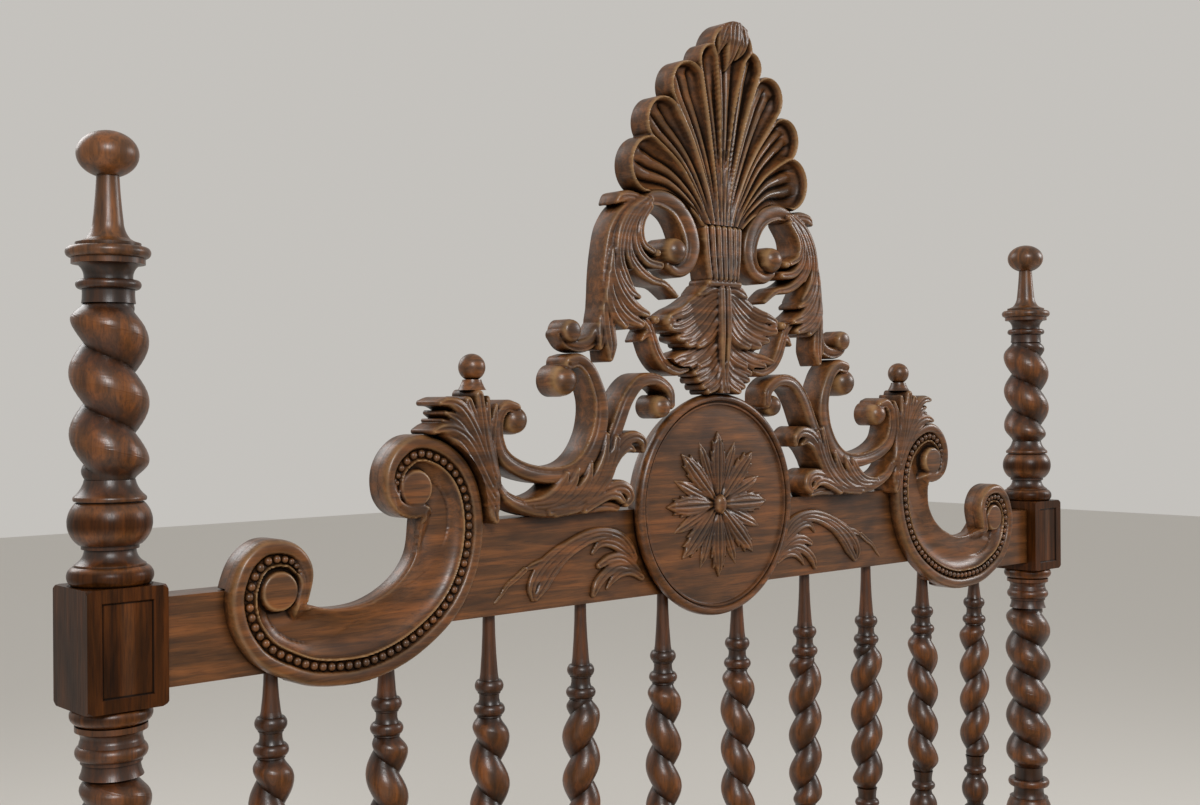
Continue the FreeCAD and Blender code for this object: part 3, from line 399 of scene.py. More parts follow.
def softened(values, passes):
    """Evens out the values over their neighbours."""
    for _ in range(passes):
        padded = np.pad(values, 1, mode="edge")
        values = (padded[:-2, 1:-1] + padded[2:, 1:-1] + padded[1:-1, :-2] + padded[1:-1, 2:] + 4 * values) / 8
    return values


# Making pieces

# How far round a place its height is compared; how much higher a place stands to get the full worn colour and painted
# highlight, and as much lower the full painted shade; the value at the face's rim, slightly worn and painted light;
# and the value at the back of the sides, painted shade on the side walls
WEAR_AND_SHADE_REACH, WEAR_AND_SHADE_HEIGHT, RIM_WEAR_AND_HIGHLIGHT, SIDE_PAINTED_SHADE = 3.2, 1.8, 0.15, -0.2


def named(obj, name):
    obj.name = obj.data.name = name
    return obj


def activate(*pieces):
    """Selects these pieces only, the first of them as the active one."""
    bpy.ops.object.select_all(action="DESELECT")
    for piece in pieces:
        piece.select_set(True)
    bpy.context.view_layer.objects.active = pieces[0]


def mode(name):
    bpy.ops.object.mode_set(mode=name)


def edit(obj, kind):
    """Opens a piece's mesh with nothing selected, to select vertices, edges or faces."""
    activate(obj)
    mode("EDIT")
    bpy.ops.mesh.select_all(action="DESELECT")
    bpy.ops.mesh.select_mode(type=kind)


def closed(obj, degrees):
    """Turns the faces of a finished mesh outwards and smooths all but its sharp edges."""
    bpy.ops.mesh.select_all(action="SELECT")
    bpy.ops.mesh.normals_make_consistent(inside=False)
    mode("OBJECT")
    bpy.ops.object.shade_smooth_by_angle(angle=math.radians(degrees))
    return obj


def onto_edge(field, x, z, reach):
    """Slides points onto the edge of a carving, none of them further than the reach."""
    new_x, new_z, step = x.copy(), z.copy(), 0.2
    for _ in range(4):
        here = field(new_x, new_z)[0]
        slope_x = (field(new_x + step, new_z)[0] - here) / step
        slope_z = (field(new_x, new_z + step)[0] - here) / step
        shift = np.clip(-here / (slope_x ** 2 + slope_z ** 2 + 0.05), -reach, reach)
        new_x = np.clip(new_x + slope_x * shift, x - reach, x + reach)
        new_z = np.clip(new_z + slope_z * shift, z - reach, z + reach)
    return new_x, new_z


def cut_board(name, field, region, front, back, cell, lean=lambda z: 0):
    """A board marked out as a grid: the waste is cut away, the face is carved, and the edges run to a flat back."""
    low_x, low_z, high_x, high_z = region
    columns, rows = math.ceil((high_x - low_x) / cell), math.ceil((high_z - low_z) / cell)
    x, z = np.meshgrid(np.linspace(low_x, high_x, columns + 1), np.linspace(low_z, high_z, rows + 1))
    depth, height = field(x, z)
    kept = (depth[:-1, :-1] + depth[1:, :-1] + depth[:-1, 1:] + depth[1:, 1:]) > 0
    kept[1:, :-1] |= kept[:-1, :-1] & kept[1:, 1:] & ~kept[:-1, 1:]
    kept[:-1, :-1] |= kept[1:, :-1] & kept[:-1, 1:] & ~kept[1:, 1:]
    lone = np.pad(kept, 1).astype(int)
    touching = lone[:-1, :-1] + lone[1:, :-1] + lone[:-1, 1:] + lone[1:, 1:]
    rim = (touching > 0) & (touching < 4)
    x[rim], z[rim] = onto_edge(field, x[rim], z[rim], 0.9 * cell)
    height = softened(height, 1)
    height[rim] = field(x[rim], z[rim])[1]
    # Each place's height over its surroundings marks it: higher places as worn with painted highlight, lower places
    # as painted shade in the hollows
    body = np.where(touching > 0, 1.0, 0.0)
    passes = int((WEAR_AND_SHADE_REACH / cell) ** 2)
    around = softened(height * body, passes) / np.maximum(softened(body, passes), 1e-3)
    wear = np.clip((height - around) / WEAR_AND_SHADE_HEIGHT, -1, 1)
    wear[rim] = RIM_WEAR_AND_HIGHLIGHT
    wear = softened(wear, 1)
    spots = np.stack([x, front - height + lean(z), z + CREST_BASE], -1) * MM
    bpy.ops.mesh.primitive_grid_add(x_subdivisions=columns, y_subdivisions=rows, size=1, calc_uvs=False)
    obj = named(bpy.context.object, name)
    mesh = obj.data
    mesh.vertices.foreach_set("co", spots.ravel())
    mesh.attributes.new("wear", "FLOAT", "POINT").data.foreach_set("value", wear.ravel())
    edit(obj, "FACE")
    mode("OBJECT")
    mesh.polygons.foreach_set("select", ~kept.ravel())
    mode("EDIT")
    bpy.ops.mesh.delete(type="FACE")
    bpy.ops.mesh.select_mode(type="EDGE")
    bpy.ops.mesh.select_non_manifold(use_wire=False, use_multi_face=False, use_non_contiguous=False, use_verts=False)
    bpy.ops.mesh.extrude_edges_move(TRANSFORM_OT_translate={"value": (0, 0.05, 0)})
    mode("OBJECT")
    count, marks = len(mesh.vertices), mesh.attributes["wear"].data
    chosen, places, values = np.zeros(count, bool), np.zeros(count * 3), np.zeros(count, np.float32)
    mesh.vertices.foreach_get("select", chosen)
    mesh.vertices.foreach_get("co", places)
    marks.foreach_get("value", values)
    places = places.reshape(-1, 3)
    places[chosen, 1] = (back + lean(places[chosen, 2] / MM - CREST_BASE)) * MM
    # The back ends of the side walls get painted shade, darker towards the back
    values[chosen] = SIDE_PAINTED_SHADE
    mesh.vertices.foreach_set("co", places.ravel())
    marks.foreach_set("value", values)
    mode("EDIT")
    bpy.ops.mesh.fill(use_beauty=False)
    return closed(obj, 50)


def joined(pieces, name):
    activate(*pieces)
    bpy.ops.object.join()
    return named(bpy.context.object, name)


def turned(outline, level, steps):
    """A piece turned about an axis that runs front to back at that height; the outline gives radius and y in
    millimetres, from the back round to the front."""
    radius, y = outline[0]
    bpy.ops.mesh.primitive_circle_add(vertices=steps, radius=radius * MM, fill_type="NGON",
                                      location=(0, y * MM, level * MM), rotation=(math.pi / 2, 0, 0))
    bpy.ops.object.transform_apply()
    obj = bpy.context.object
    edit(obj, "VERT")
    bpy.ops.mesh.select_all(action="SELECT")
    for (radius, y), (next_radius, next_y) in zip(outline, outline[1:]):
        bpy.ops.mesh.extrude_region_move(TRANSFORM_OT_translate={"value": (0, (next_y - y) * MM, 0)})
        share = next_radius / radius
        bpy.ops.transform.resize(value=(share, 1, share), center_override=(0, 0, level * MM))
    return closed(obj, 35)


def placed(obj, *nodes):
    """Gives a carved piece its wood, its body and the solids that it stands for."""
    obj.data.materials.clear()
    obj.data.materials.append(bpy.data.materials["waxed_walnut_carved"])
    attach(obj, BODY)
    if nodes:
        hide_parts(*nodes)


def paired(right, *nodes):
    """Places a piece of the right side and its mirror image, with its own mesh, on the left."""
    left = right.copy()
    left.data = right.data.copy()
    bpy.context.collection.objects.link(left)
    named(left, right.name.replace("right", "left"))
    left.data.transform(Matrix.Scale(-1, 4, (1, 0, 0)))
    left.data.flip_normals()
    placed(right, *nodes)
    placed(left, *[node.replace("right", "left") for node in nodes])


# The carver's drawings

def drawing(*rows):
    """A group of strokes. A row gives the stroke's kind, how high it lies from its start to its end, its half widths,
    and its line as x, z, x, z and so on; a row without a kind is a leaf."""
    strokes = []
    for row in rows:
        kind, lift, half_widths, line = row if isinstance(row[0], str) else ("leaf",) + row
        strokes.append((kind, lift, half_widths, tuple(zip(line[::2], line[1::2]))))
    return tuple(strokes)


def both_sides(*rows):
    """The strokes drawn again on the other side of the middle, but for those on it."""
    return drawing(*rows) + tuple((kind, lift, half_widths, tuple((-x, z) for x, z in points))
                                  for kind, lift, half_widths, points in drawing(*rows) if any(x for x, _ in points))


LOWER_SCROLL = drawing(
    ("band", (0,), (6.5, 7, 7, 8, 8.5, 9, 9, 9, 9.5, 10.5, 11, 11, 11, 10, 9, 8.5, 8, 8),
     (319, 119, 331, 121, 341, 112, 345, 97, 343, 82, 336, 68, 320, 57, 297, 49, 267, 45, 240, 48, 219, 61, 204, 82,
      197, 104, 197, 126, 204, 146, 214, 162, 228, 171, 242, 169)),
    ("band", (0,), (4, 8, 9, 10, 10, 9, 7.2, 6.3),
     (351, 47, 333, 25, 305, 13, 274, 8, 245, 12, 218, 28, 199, 49, 184, 74, 171, 99, 155, 129, 134, 148, 108, 150,
      88, 138, 85, 122)),
    ("ball", (-12,), (15.5,), (316, 106, 317, 106)),
    ("ball", (-14,), (18,), (246, 149, 247, 149)),
    ("ball", (-10,), (14,), (98, 119, 99, 119)),
    ((1, 3), (5, 7, 7, 5, 2), (350, 14, 364, 34, 378, 52, 392, 68, 402, 80)),
    ((2, 4), (6, 7, 7, 7, 5, 2), (352, 26, 366, 45, 377, 62, 389, 78, 401, 88, 415, 93)),
    ((3, 6), (6, 7, 7, 7, 7, 5, 3), (355, 38, 368, 60, 379, 78, 391, 91, 405, 98, 419, 99, 430, 96)),
    ((2, 4), (5, 5, 5, 5, 4, 2), (356, 44, 371, 66, 383, 83, 395, 96, 406, 103, 418, 107)),
    ((3, 5), (5, 6, 6, 6, 5, 2.5), (356, 48, 368, 66, 378, 82, 390, 98, 402, 109, 415, 115)),
    ((4, 7), (5, 6, 6, 7, 7, 5, 3), (356, 52, 367, 74, 377, 94, 389, 112, 400, 122, 412, 126, 423, 125)),
    ((3, 5), (5, 6, 6, 6, 5), (354, 48, 364, 70, 373, 91, 380, 110, 387, 127)),
    ((4, 6), (5, 6, 6, 6, 6), (353, 46, 360, 66, 366, 89, 370, 112, 374, 133)),
    ((3, 4), (5, 5, 5, 5, 2.5), (350, 46, 356, 66, 361, 88, 362, 110, 360, 130)),
    ((1, 2), (5, 5, 5, 4.5, 2), (348, 40, 352, 62, 355, 84, 352, 106, 347, 123)),
    ((0, 2), (5, 6, 6, 4), (352, 34, 350, 22, 352, 10, 349, 1)),
    ((-3,), (4, 6, 6, 5), (246, 5, 213, 8, 189, 8, 172, 5)),
    ((0, 3), (3, 5, 6, 6, 3), (308, 17, 284, 19, 267, 27, 256, 38, 251, 47)),
    ((1, 4), (3, 5, 6.5, 6, 2.5), (296, 13, 271, 15, 254, 25, 243, 36, 235, 50)),
    ((1, 4), (4, 6, 7, 6, 2.5), (277, 9, 254, 14, 235, 24, 222, 38, 215, 56)),
    ((2, 3), (4, 6, 7, 7, 6, 3), (275, 6, 246, 10, 222, 24, 206, 40, 196, 61, 190, 88)),
    ((2, 4), (4, 6, 8, 8, 7, 4), (267, 4, 237, 10, 211, 23, 193, 41, 183, 60, 177, 84)),
    ((3, 4), (5, 7, 7, 7, 7, 6.5, 5.5, 3), (222, 14, 203, 30, 190, 48, 179, 68, 165, 81, 148, 85, 136, 79, 135, 69)),
    ((2, 3), (4, 6, 6, 5.5, 5, 2.5), (210, 20, 195, 38, 184, 53, 172, 66, 158, 73, 148, 69)),
    ((1, 3, 5), (5, 6, 7, 7, 7, 6, 4), (228, 8, 213, 17, 191, 26, 173, 29, 161, 25, 157, 16, 163, 9)),
    ((3, 5), (4, 5, 5, 5, 4), (225, 6, 208, 14, 190, 20, 177, 19, 169, 13)),
)
UPPER_SCROLL = drawing(
    ("band right", (0, 1), (6, 9, 11, 12, 13, 13, 11, 9, 7),
     (140, 352, 118, 361, 96, 361, 73, 351, 57, 331, 51, 308, 59, 288, 76, 280, 90, 285)),
    ("ball", (0,), (16,), (85, 301, 86, 301)),
    ("flat", (-12,), (6, 8, 9, 9, 9, 9, 8, 6),
     (135, 350, 155, 336, 170, 312, 178, 286, 180, 260, 182, 236, 186, 212, 194, 200)),
    ("band", (-9,), (8, 8, 8, 7, 6), (194, 208, 204, 194, 220, 188, 238, 190, 249, 200)),
    ("eye", (-6,), (13,), (238, 204, 239, 204)),
    ((-2, 0), (5, 6, 6, 2), (138, 359, 152, 360, 164, 358, 172, 352)),
    ((-1, -4, -6, -8), (4, 5, 6, 6, 6, 6, 6, 4),
     (138, 357, 160, 344, 175, 322, 182, 296, 186, 270, 188, 244, 191, 220, 199, 202)),
    ((1, -2, -4, -5), (4, 5, 6, 6, 6, 7, 6, 4),
     (134, 358, 156, 341, 170, 318, 177, 292, 180, 266, 181, 240, 183, 216, 190, 200)),
    ((3, 3, 2), (3, 5, 6, 6, 6, 5, 3), (128, 359, 151, 344, 165, 324, 171, 303, 170, 284, 161, 267, 149, 252)),
    ((4, 3, 3), (3, 4.5, 5, 5, 3), (122, 358, 142, 342, 156, 321, 160, 298, 152, 279)),
    ((3, 2, 1), (3, 4, 5.5, 6, 6, 5, 4, 3),
     (134, 351, 152, 331, 158, 311, 154, 291, 138, 275, 119, 266, 98, 262, 78, 249)),
    ((4,), (3, 3.5, 4.5, 5.5, 5.5, 5), (130, 350, 144, 331, 148, 314, 143, 298, 128, 286, 108, 283)),
    ((5, 6, 6), (3, 3.5, 4, 4, 4), (124, 350, 137, 334, 141, 319, 136, 306, 122, 299)),
    ("ball", (3,), (5,), (114, 297, 115, 297)),
    ((1, 3, 4), (4, 5, 5, 3), (174, 284, 168, 266, 156, 252, 142, 245)),
    ((0, 3, 5), (4, 6, 7, 8, 7, 4), (178, 296, 179, 276, 173, 258, 161, 242, 146, 231, 130, 226)),
    ((0, 2, 3), (5, 7, 8, 8, 5), (182, 270, 180, 250, 171, 233, 156, 221, 138, 214)),
    ((-1, 1, 2), (5, 7, 8, 5), (184, 258, 183, 240, 175, 224, 163, 212)),
    ((-3, -2, 0), (4, 7, 8, 8, 4), (186, 252, 186, 230, 184, 208, 182, 190, 184, 174)),
    ((-6, -4), (4, 6, 6, 3), (188, 240, 191, 218, 193, 200, 195, 186)),
    ((-4, -3), (3.5, 5, 6, 6.5, 6.5, 5.5, 3.5), (134, 224, 121, 213, 115, 199, 107, 182, 94, 168, 76, 161, 58, 163)),
    ((-4, -3), (4, 4.5, 2), (114, 202, 123, 204, 132, 196)),
    ("ball", (-3,), (5.5,), (112, 220, 113, 220)),
)
PENDANT = both_sides(
    ("round", (3, 5), (4.7, 4.5, 4), (0, 333, 0, 300, 0, 273)),
    ("round", (3, 5), (4.7, 4.5, 4), (9.8, 333, 9.2, 300, 8.2, 273)),
    ("round", (2, 4), (4.7, 4.5, 4), (19.6, 333, 18.2, 300, 16, 273)),
    ("round", (0, 2), (4.7, 4.5, 4), (29.4, 333, 27, 300, 23.4, 274)),
    ("flat", (-3,), (34, 27, 20), (0, 325, 0, 300, 0, 278)),
    ("round", (3,), (4.6,), (0, 267, 16, 267, 26, 267)),
    ("round", (0,), (2.6,), (0, 260, 14, 260, 23, 260)),
    ("round", (4, 5, 3), (5, 5.5, 4.6, 3.4, 2), (5.2, 260, 5.4, 225, 4.6, 185, 2.6, 150)),
    ((1, 3), (4, 6, 6, 2.5), (8, 262, 20, 262, 31, 258, 42, 253)),
    ((2, -1, -2, 4, 5), (4, 6, 7, 7.5, 6.5, 4.5), (7, 257, 24, 254, 44, 243, 62, 233, 79, 228, 92, 224)),
    ((2, -2, -3, 2, 5), (4, 6, 7.5, 8, 7.5, 5.5), (6, 252, 20, 244, 38, 230, 58, 219, 77, 213, 91, 212)),
    ((2, -2, -3, 1, 4), (4, 6, 7.5, 8, 7, 4.5), (6, 245, 17, 234, 32, 219, 50, 207, 66, 201, 78, 200)),
    ((2, -1, -2, 1, 4), (4, 5.5, 7, 7.5, 6.5, 4.5), (5, 238, 14, 225, 27, 210, 42, 200, 54, 195, 63, 193)),
    ((2, 0, 0, 3), (4, 5.5, 6.5, 6.5, 4.5), (5, 230, 11, 215, 22, 203, 34, 196, 44, 192)),
    ("ball", (-2,), (8.5,), (90, 219, 91, 219)),
    ((-3, -5, -2, 4), (4, 6, 7, 7, 6, 4.5), (5, 213, 18, 201, 35, 189, 56, 180, 75, 176, 89, 172)),
    ((-2, -5, -2, 3), (4, 6, 7, 7, 5), (5, 204, 16, 192, 32, 180, 52, 171, 72, 167)),
    ((-1, -3, 1), (4, 5.5, 6, 4.5), (5, 196, 12, 184, 24, 174, 40, 168)),
    ((-3, -4, 1), (4, 6, 6.5, 4.5), (5, 187, 16, 174, 32, 165, 48, 159)),
    ((-2, -3, 2), (4, 6, 6.5, 4.5), (4, 180, 12, 167, 26, 157, 43, 151)),
    ((-1, -1, 2), (4, 5.5, 6.5, 4.5), (4, 172, 9, 160, 20, 150, 35, 143)),
    ((2, 1, 3), (4, 5, 5.5, 4), (3, 164, 6, 152, 14, 143, 27, 137)),
    ((3, 4), (4, 5.5, 6, 4.5), (0, 168, 0, 152, 1, 144, 4, 137)),
)
BINDING_TOP = 337.5
RAIL_LEAVES = drawing(
    ((1, 1.5), (4, 5.5, 6, 6, 6, 5, 4, 2),
     (131, -56, 138, -44, 150, -33, 168, -26, 190, -24, 212, -27, 234, -34, 252, -44, 266, -56)),
    ((0.5, 1), (3, 5, 6, 7, 7, 6, 3), (200, -26, 219, -30, 243, -39, 264, -51, 279, -65, 286, -78, 284, -90)),
    ((2, 1), (3, 4.5, 5, 5.5, 7, 7.5, 4), (170, -28, 190, -28, 213, -34, 237, -46, 255, -60, 268, -75, 280, -89)),
    ((1,), (3, 4.5, 6, 6, 4.5), (200, -30, 214, -34, 232, -42, 245, -50, 250, -60)),
    ((0,), (4, 4, 3, 2), (268, -50, 285, -54, 297, -58)),
    ((0,), (3, 3, 3, 2.5, 2), (295, -57, 307, -65, 319, -72, 328, -82, 336, -89)),
    ((1,), (4, 5, 5, 4.5, 4, 2.5), (132, -58, 145, -49, 161, -40, 177, -36, 188, -38, 196, -46)),
    ((1, 2), (3, 5, 6, 6, 4), (121, -78, 135, -64, 153, -55, 172, -55, 187, -61)),
    ((1, 2), (3, 5, 6, 6, 6, 3.5), (120, -79, 138, -68, 158, -64, 177, -71, 190, -82, 196, -93)),
    ((2, 1), (3, 4.5, 5, 4, 2), (120, -80, 136, -72, 153, -72, 166, -79, 174, -88)),
)
SHELL_TIP = both_sides(
    ((2, 3, 0, -7), (9, 10, 8, 5.5, 1.5), (0, 573, 0, 562, 0, 550, 0, 538, 0, 525)),
    ((1, 1, -6), (8, 8, 5.5, 1.5), (13, 571, 17, 561, 19, 550, 17, 540)),
)
PETAL = both_sides(
    ((0, 0.4), (1.9, 4.4, 7.2, 9.6, 10.4, 8, 4, 0.8), (0, 7, 0, 18, 0, 30, 0, 43, 0, 56, 0, 70, 0, 80, 0, 88)),
    ((0, 0.6), (2.2, 3.4, 1), (2.5, 28, 7, 38, 11.5, 50)),
    ((0, 0.6), (2.4, 3.6, 1), (3, 42, 8, 53, 12.4, 65)),
    ((0, 0.6), (2.2, 3.2, 1), (2.5, 57, 6, 67, 9.4, 77)),
)
# The middle line and half widths of each of the shell's lobes, from the middle one outwards
SHELL_LOBES = (
    (((0, 331), (0, 400), (0, 480), (0, 543)), (4, 8, 18, 37)),
    (((5, 331), (9, 390), (20, 460), (34, 530)), (4, 8, 14, 21)),
    (((11, 331), (20, 380), (42, 440), (70, 497)), (4, 10, 18, 28.5)),
    (((17, 331), (35, 370), (65, 415), (105, 451)), (4, 11, 19, 29)),
    (((24, 331), (48, 360), (84, 387), (122, 399)), (5, 12, 22, 34)),
)


def shell_field(x, z):
    """Nine hollow lobes side by side, each with a raised lip and three ribs that run down to the root."""
    lobes = []
    for points, half_widths in SHELL_LOBES:
        (ax, az), (bx, bz) = points[-2:]
        onward = half_widths[-1] / math.hypot(bx - ax, bz - az)
        past = points + ((bx + (bx - ax) * onward, bz + (bz - az) * onward),)
        for side in ((1, -1) if points[-1][0] else (1,)):
            line, longer = ([(side * px, pz) for px, pz in run] for run in (points, past))
            depth = along_stroke(x, z, line, half_widths)[0]
            lobes.append([depth] + along_stroke(x, z, longer, half_widths + half_widths[-1:])[1:])
    lobes = np.array(lobes)
    order = np.argsort(-lobes[:, 0], axis=0)
    depth, across, along, half = np.take_along_axis(lobes, order[:1, None], 0)[0]
    gap = depth - np.maximum(np.take_along_axis(lobes[:, 0], order[1:2], 0)[0], -30)
    out = np.clip(np.abs(across), 0, 1)
    open_part = eased(along, 0.19, 0.5)
    wall = eased(depth, 2.5, 3.5)
    rise = np.clip(np.minimum(0.7 * gap, depth) / (0.5 * half), 0, 1)
    hollow = -(1.5 + 11.5 * open_part ** 1.5) * (1 - (1 - rise) ** 2) * wall
    border = (1.5 + 1.5 * open_part) * hump(gap, 1.5 + 2.5 * open_part) * wall
    crests = np.where(out < 0.5, np.sin(math.pi * out / 0.5), np.sin(math.pi / 2 * (out - 0.5) / 0.5))
    fading = (1 - eased(along, 0.80, 0.11)) * (1 - hump(gap, 2.5)) * wall
    ribs = np.clip(0.25 * half, 1.2, 6.5) * (np.sqrt(crests ** 2 + 0.02) ** 0.8 - 0.65)
    grooves = 2.4 * (hump(out * half, 1.5) + hump((out - 0.5) * half, 1.5)) * eased(half, 5, 6)
    lip = 2.5 * hump(depth - 2.2, 1.9)
    height = hollow + border + (ribs - grooves) * fading + lip + edge_drop(depth, 3.0, 3.5)
    tip_depth, tip_height = carved(SHELL_TIP)(x, z)
    return depth, np.where(tip_depth > 0, np.maximum(height, tip_height), height)


def shell_lean(z):
    """How far the shell leans forward at each level, as a change of y."""
    return -22 * eased(z, 331, 250) ** 1.5


# The bracket's drawing, in thousandths of its width from its outer edge and of its height from its foot
BRACKET_OUTLINE = (
    (278, 343), (302, 446), (292, 517), (247, 579), (179, 607), (110, 600), (48, 545), (14, 467), (0, 384), (14, 281),
    (48, 198), (103, 124), (179, 70), (282, 20), (402, 0), (522, 4), (643, 41), (746, 99), (849, 186), (924, 289),
    (976, 417), (1000, 550), (1000, 665), (979, 777), (935, 872), (873, 942), (804, 983), (739, 1000), (677, 988),
    (625, 946), (591, 888), (577, 822), (584, 748), (612, 694), (653, 661), (700, 649), (735, 653),
)
BRACKET_OPENING = ((715, 500), (643, 393), (522, 322), (385, 310))
BRACKET_EYES = ((175, 405), (710, 775))
BRACKET_LOW, BRACKET_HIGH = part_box("scroll_bracket_right")


def bracket_points(shares):
    width = (BRACKET_HIGH.x - BRACKET_LOW.x) / MM
    height = (BRACKET_HIGH.z - BRACKET_LOW.z) / MM
    return [(BRACKET_HIGH.x / MM - x / 1000 * width, BRACKET_LOW.z / MM - CREST_BASE + z / 1000 * height)
            for x, z in shares]


RIM_LINE = drawn(bracket_points(BRACKET_OUTLINE), 6)
OPENING_LINE = drawn(bracket_points(BRACKET_OUTLINE[-1:] + BRACKET_OPENING + BRACKET_OUTLINE[:1]), 8)
BRACKET_LINE = np.vstack([RIM_LINE, OPENING_LINE[1:-1]])
# The rolled rim ends at this point of its line, beside the upper eye
RIM_END = 200
EYE_RADIUS, FILLET_WIDTH, DEEPEST = 19.5, 2.6, -13.0
# The rails round the brackets: where the crest rail ends and the long rail's top is, the scoop's middle and radius,
# half the room that a spindle takes, and the gap that is kept between neighbours
CREST_END, CREST_STEP = 435.8, -47.0
SCOOP = (524.8, 12.0, 107.0)
SPINDLE_ROOM = 10.5
CLEARANCE = 0.2


def run_out(from_end):
    """The share of the rim's full width that is left towards the ends of its line."""
    return np.clip(from_end / 9, 0.02, 1) ** 0.5


def bead_run(along, rim, bead):
    """The beads' inset from the edge and their share of the full size; both fall off towards the ends of the row."""
    from_end = np.minimum(along, RIM_END - along)
    fade = eased(from_end, 7, 20)
    return (rim + bead + 1.2 - (1 - fade) * 5.0) * run_out(from_end), 0.55 + 0.45 * fade


def bracket_field(rim, bead):
    """The bracket's face from the edge inwards: rolled rim, groove for the beads, fillet, hollow cove; two eyes."""
    eyes = bracket_points(BRACKET_EYES)

    def field(x, z):
        to_rim, along = line_gap(x, z, RIM_LINE)
        to_opening, _ = line_gap(x, z, OPENING_LINE)
        from_eyes = [np.hypot(x - eye_x, z - eye_z) for eye_x, eye_z in eyes]
        depth = np.where(inside_of(x, z, BRACKET_LINE), 1, -1) * np.minimum(to_rim, to_opening)
        from_end = np.minimum(along, RIM_END - along)
        inset, size = bead_run(along, rim, bead)
        half = (bead * size + 0.7) * run_out(from_end)
        ended = run_out(from_end) * eased(from_end, 3, 6)
        roll = np.maximum(inset - half, 0.4) / 2
        groove = -3.4 * ended - 1.0
        height = np.where(to_rim > 2 * roll, groove, 4.2 * arch((to_rim - roll) / roll) - 2.4)
        inner = to_rim - inset - half
        fillet = groove + (4.2 + hump(inner - 1.6, 1.0)) * eased(inner, 0, 0.8) * ended
        hollow = inner - FILLET_WIDTH
        across = np.clip(hollow / (np.maximum(hollow, 0) + to_opening + 1e-6), 0, 1)
        cove = -9.5 * np.sin(math.pi * across ** 0.75) ** 0.8 - 1.5 * across
        cove *= eased(hollow + to_opening, 0, 26)
        height = np.where(inner > 0, fillet + np.where(hollow > 0, cove, 0), height)
        plain = np.maximum(eased(from_end, 8, 10), eased(np.minimum(*from_eyes), 25, 12))
        plain = np.maximum(plain, eased(to_rim, 12, 6))
        height = plain * height + (1 - plain) * 1.2
        for from_eye in from_eyes:
            disc = EYE_RADIUS - from_eye
            top = 0.6 + 1.2 * arch(from_eye / EYE_RADIUS) + edge_drop(disc, 3.0, 4.0)
            height = np.where(disc > 0, np.maximum(top, height), height)
            around = eased(-disc, 0, 2) * eased(disc, -16, 6)
            height = np.where((disc < 0) & (hollow > 0), height - 1.5 * around * plain, height)
        return depth, np.maximum(height + edge_drop(depth, 4.5, 3.5), DEEPEST)
    return field


def in_bracket(x, z):
    """How deep each place lies inside the bracket's outline."""
    gap, _ = line_gap(x, z, np.vstack([BRACKET_LINE, BRACKET_LINE[:1]]))
    return np.where(inside_of(x, z, BRACKET_LINE), gap, -gap)


def in_disc(x, z):
    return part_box("medallion_disc")[1].x / MM - np.hypot(x, z)


def in_rails(x, z):
    """How deep each place lies inside the two rails, which are scooped out round the brackets, and the spindles."""
    side, foot = np.abs(x), RAIL_LOW.z / MM - CREST_BASE
    long_rail = np.minimum(RAIL_HIGH.x / MM - side, np.minimum(z - foot, CREST_STEP - z))
    crest_rail = np.minimum(CREST_END - side, np.minimum(z - foot, -z))
    rails = np.minimum(np.maximum(long_rail, crest_rail), np.hypot(side - SCOOP[0], z - SCOOP[1]) - SCOOP[2])
    spindle = SPINDLE_ROOM - np.abs((x % SPINDLE_PITCH) - SPINDLE_PITCH / 2)
    return np.maximum(rails, np.minimum(spindle, foot + 1 - z))


def clear_of(carving, *others):
    """Keeps a carving clear of the pieces that it stands against; each of them gives the depth inside itself."""
    def field(x, z):
        depth, height = carving(x, z)
        for other in others:
            depth = np.minimum(depth, -other(x, z) - CLEARANCE)
        return depth, height
    return field


def inside(strokes):
    """The depth inside a group of strokes and inside the same group on the other side of the bed."""
    return lambda x, z: carved(strokes)(np.abs(x), z)[0]


# How far the carved boards' plain faces lie behind their highest leaves, and the medallion's field behind its rim
LEAF_RISE, FIELD_SUNK = 3, 6.0
# The medallion's rim from the back to the field: inset from the edge and distance behind the front
DISC_RIM = (
    (1.5, 13), (0, 9), (0.3, 5.5), (1.6, 2.6), (3.6, 0.8), (6, 0), (8, 0.5), (9.4, 2.2), (9.8, 4.4), (10.6, 4.6),
    (11.6, 3.2), (13.4, 3.2), (14.6, 6.0), (16, 6.4), (20, 6.0),
)


class BedSizes(bpy.types.PropertyGroup):
    gouge_step: FloatProperty(name="Gouge step", description="Spacing of the carved surface's points",
                              default=1.15 * MM, unit="LENGTH")
    bead_radius: FloatProperty(name="Bead", description="Radius of a bead on the scroll brackets",
                               default=4.2 * MM, unit="LENGTH")
    bead_pitch: FloatProperty(name="Bead pitch", description="Distance between the beads' middles",
                              default=9.8 * MM, unit="LENGTH")
    rim_width: FloatProperty(name="Bracket rim", description="Width of the rounded rim of a scroll bracket",
                             default=14.0 * MM, unit="LENGTH")
    petals: IntProperty(name="Petals", description="Number of petals of the rosette", default=16)
    short_petal: FloatProperty(name="Short petal", description="Length of every second petal as a share",
                               default=0.94, subtype="FACTOR")


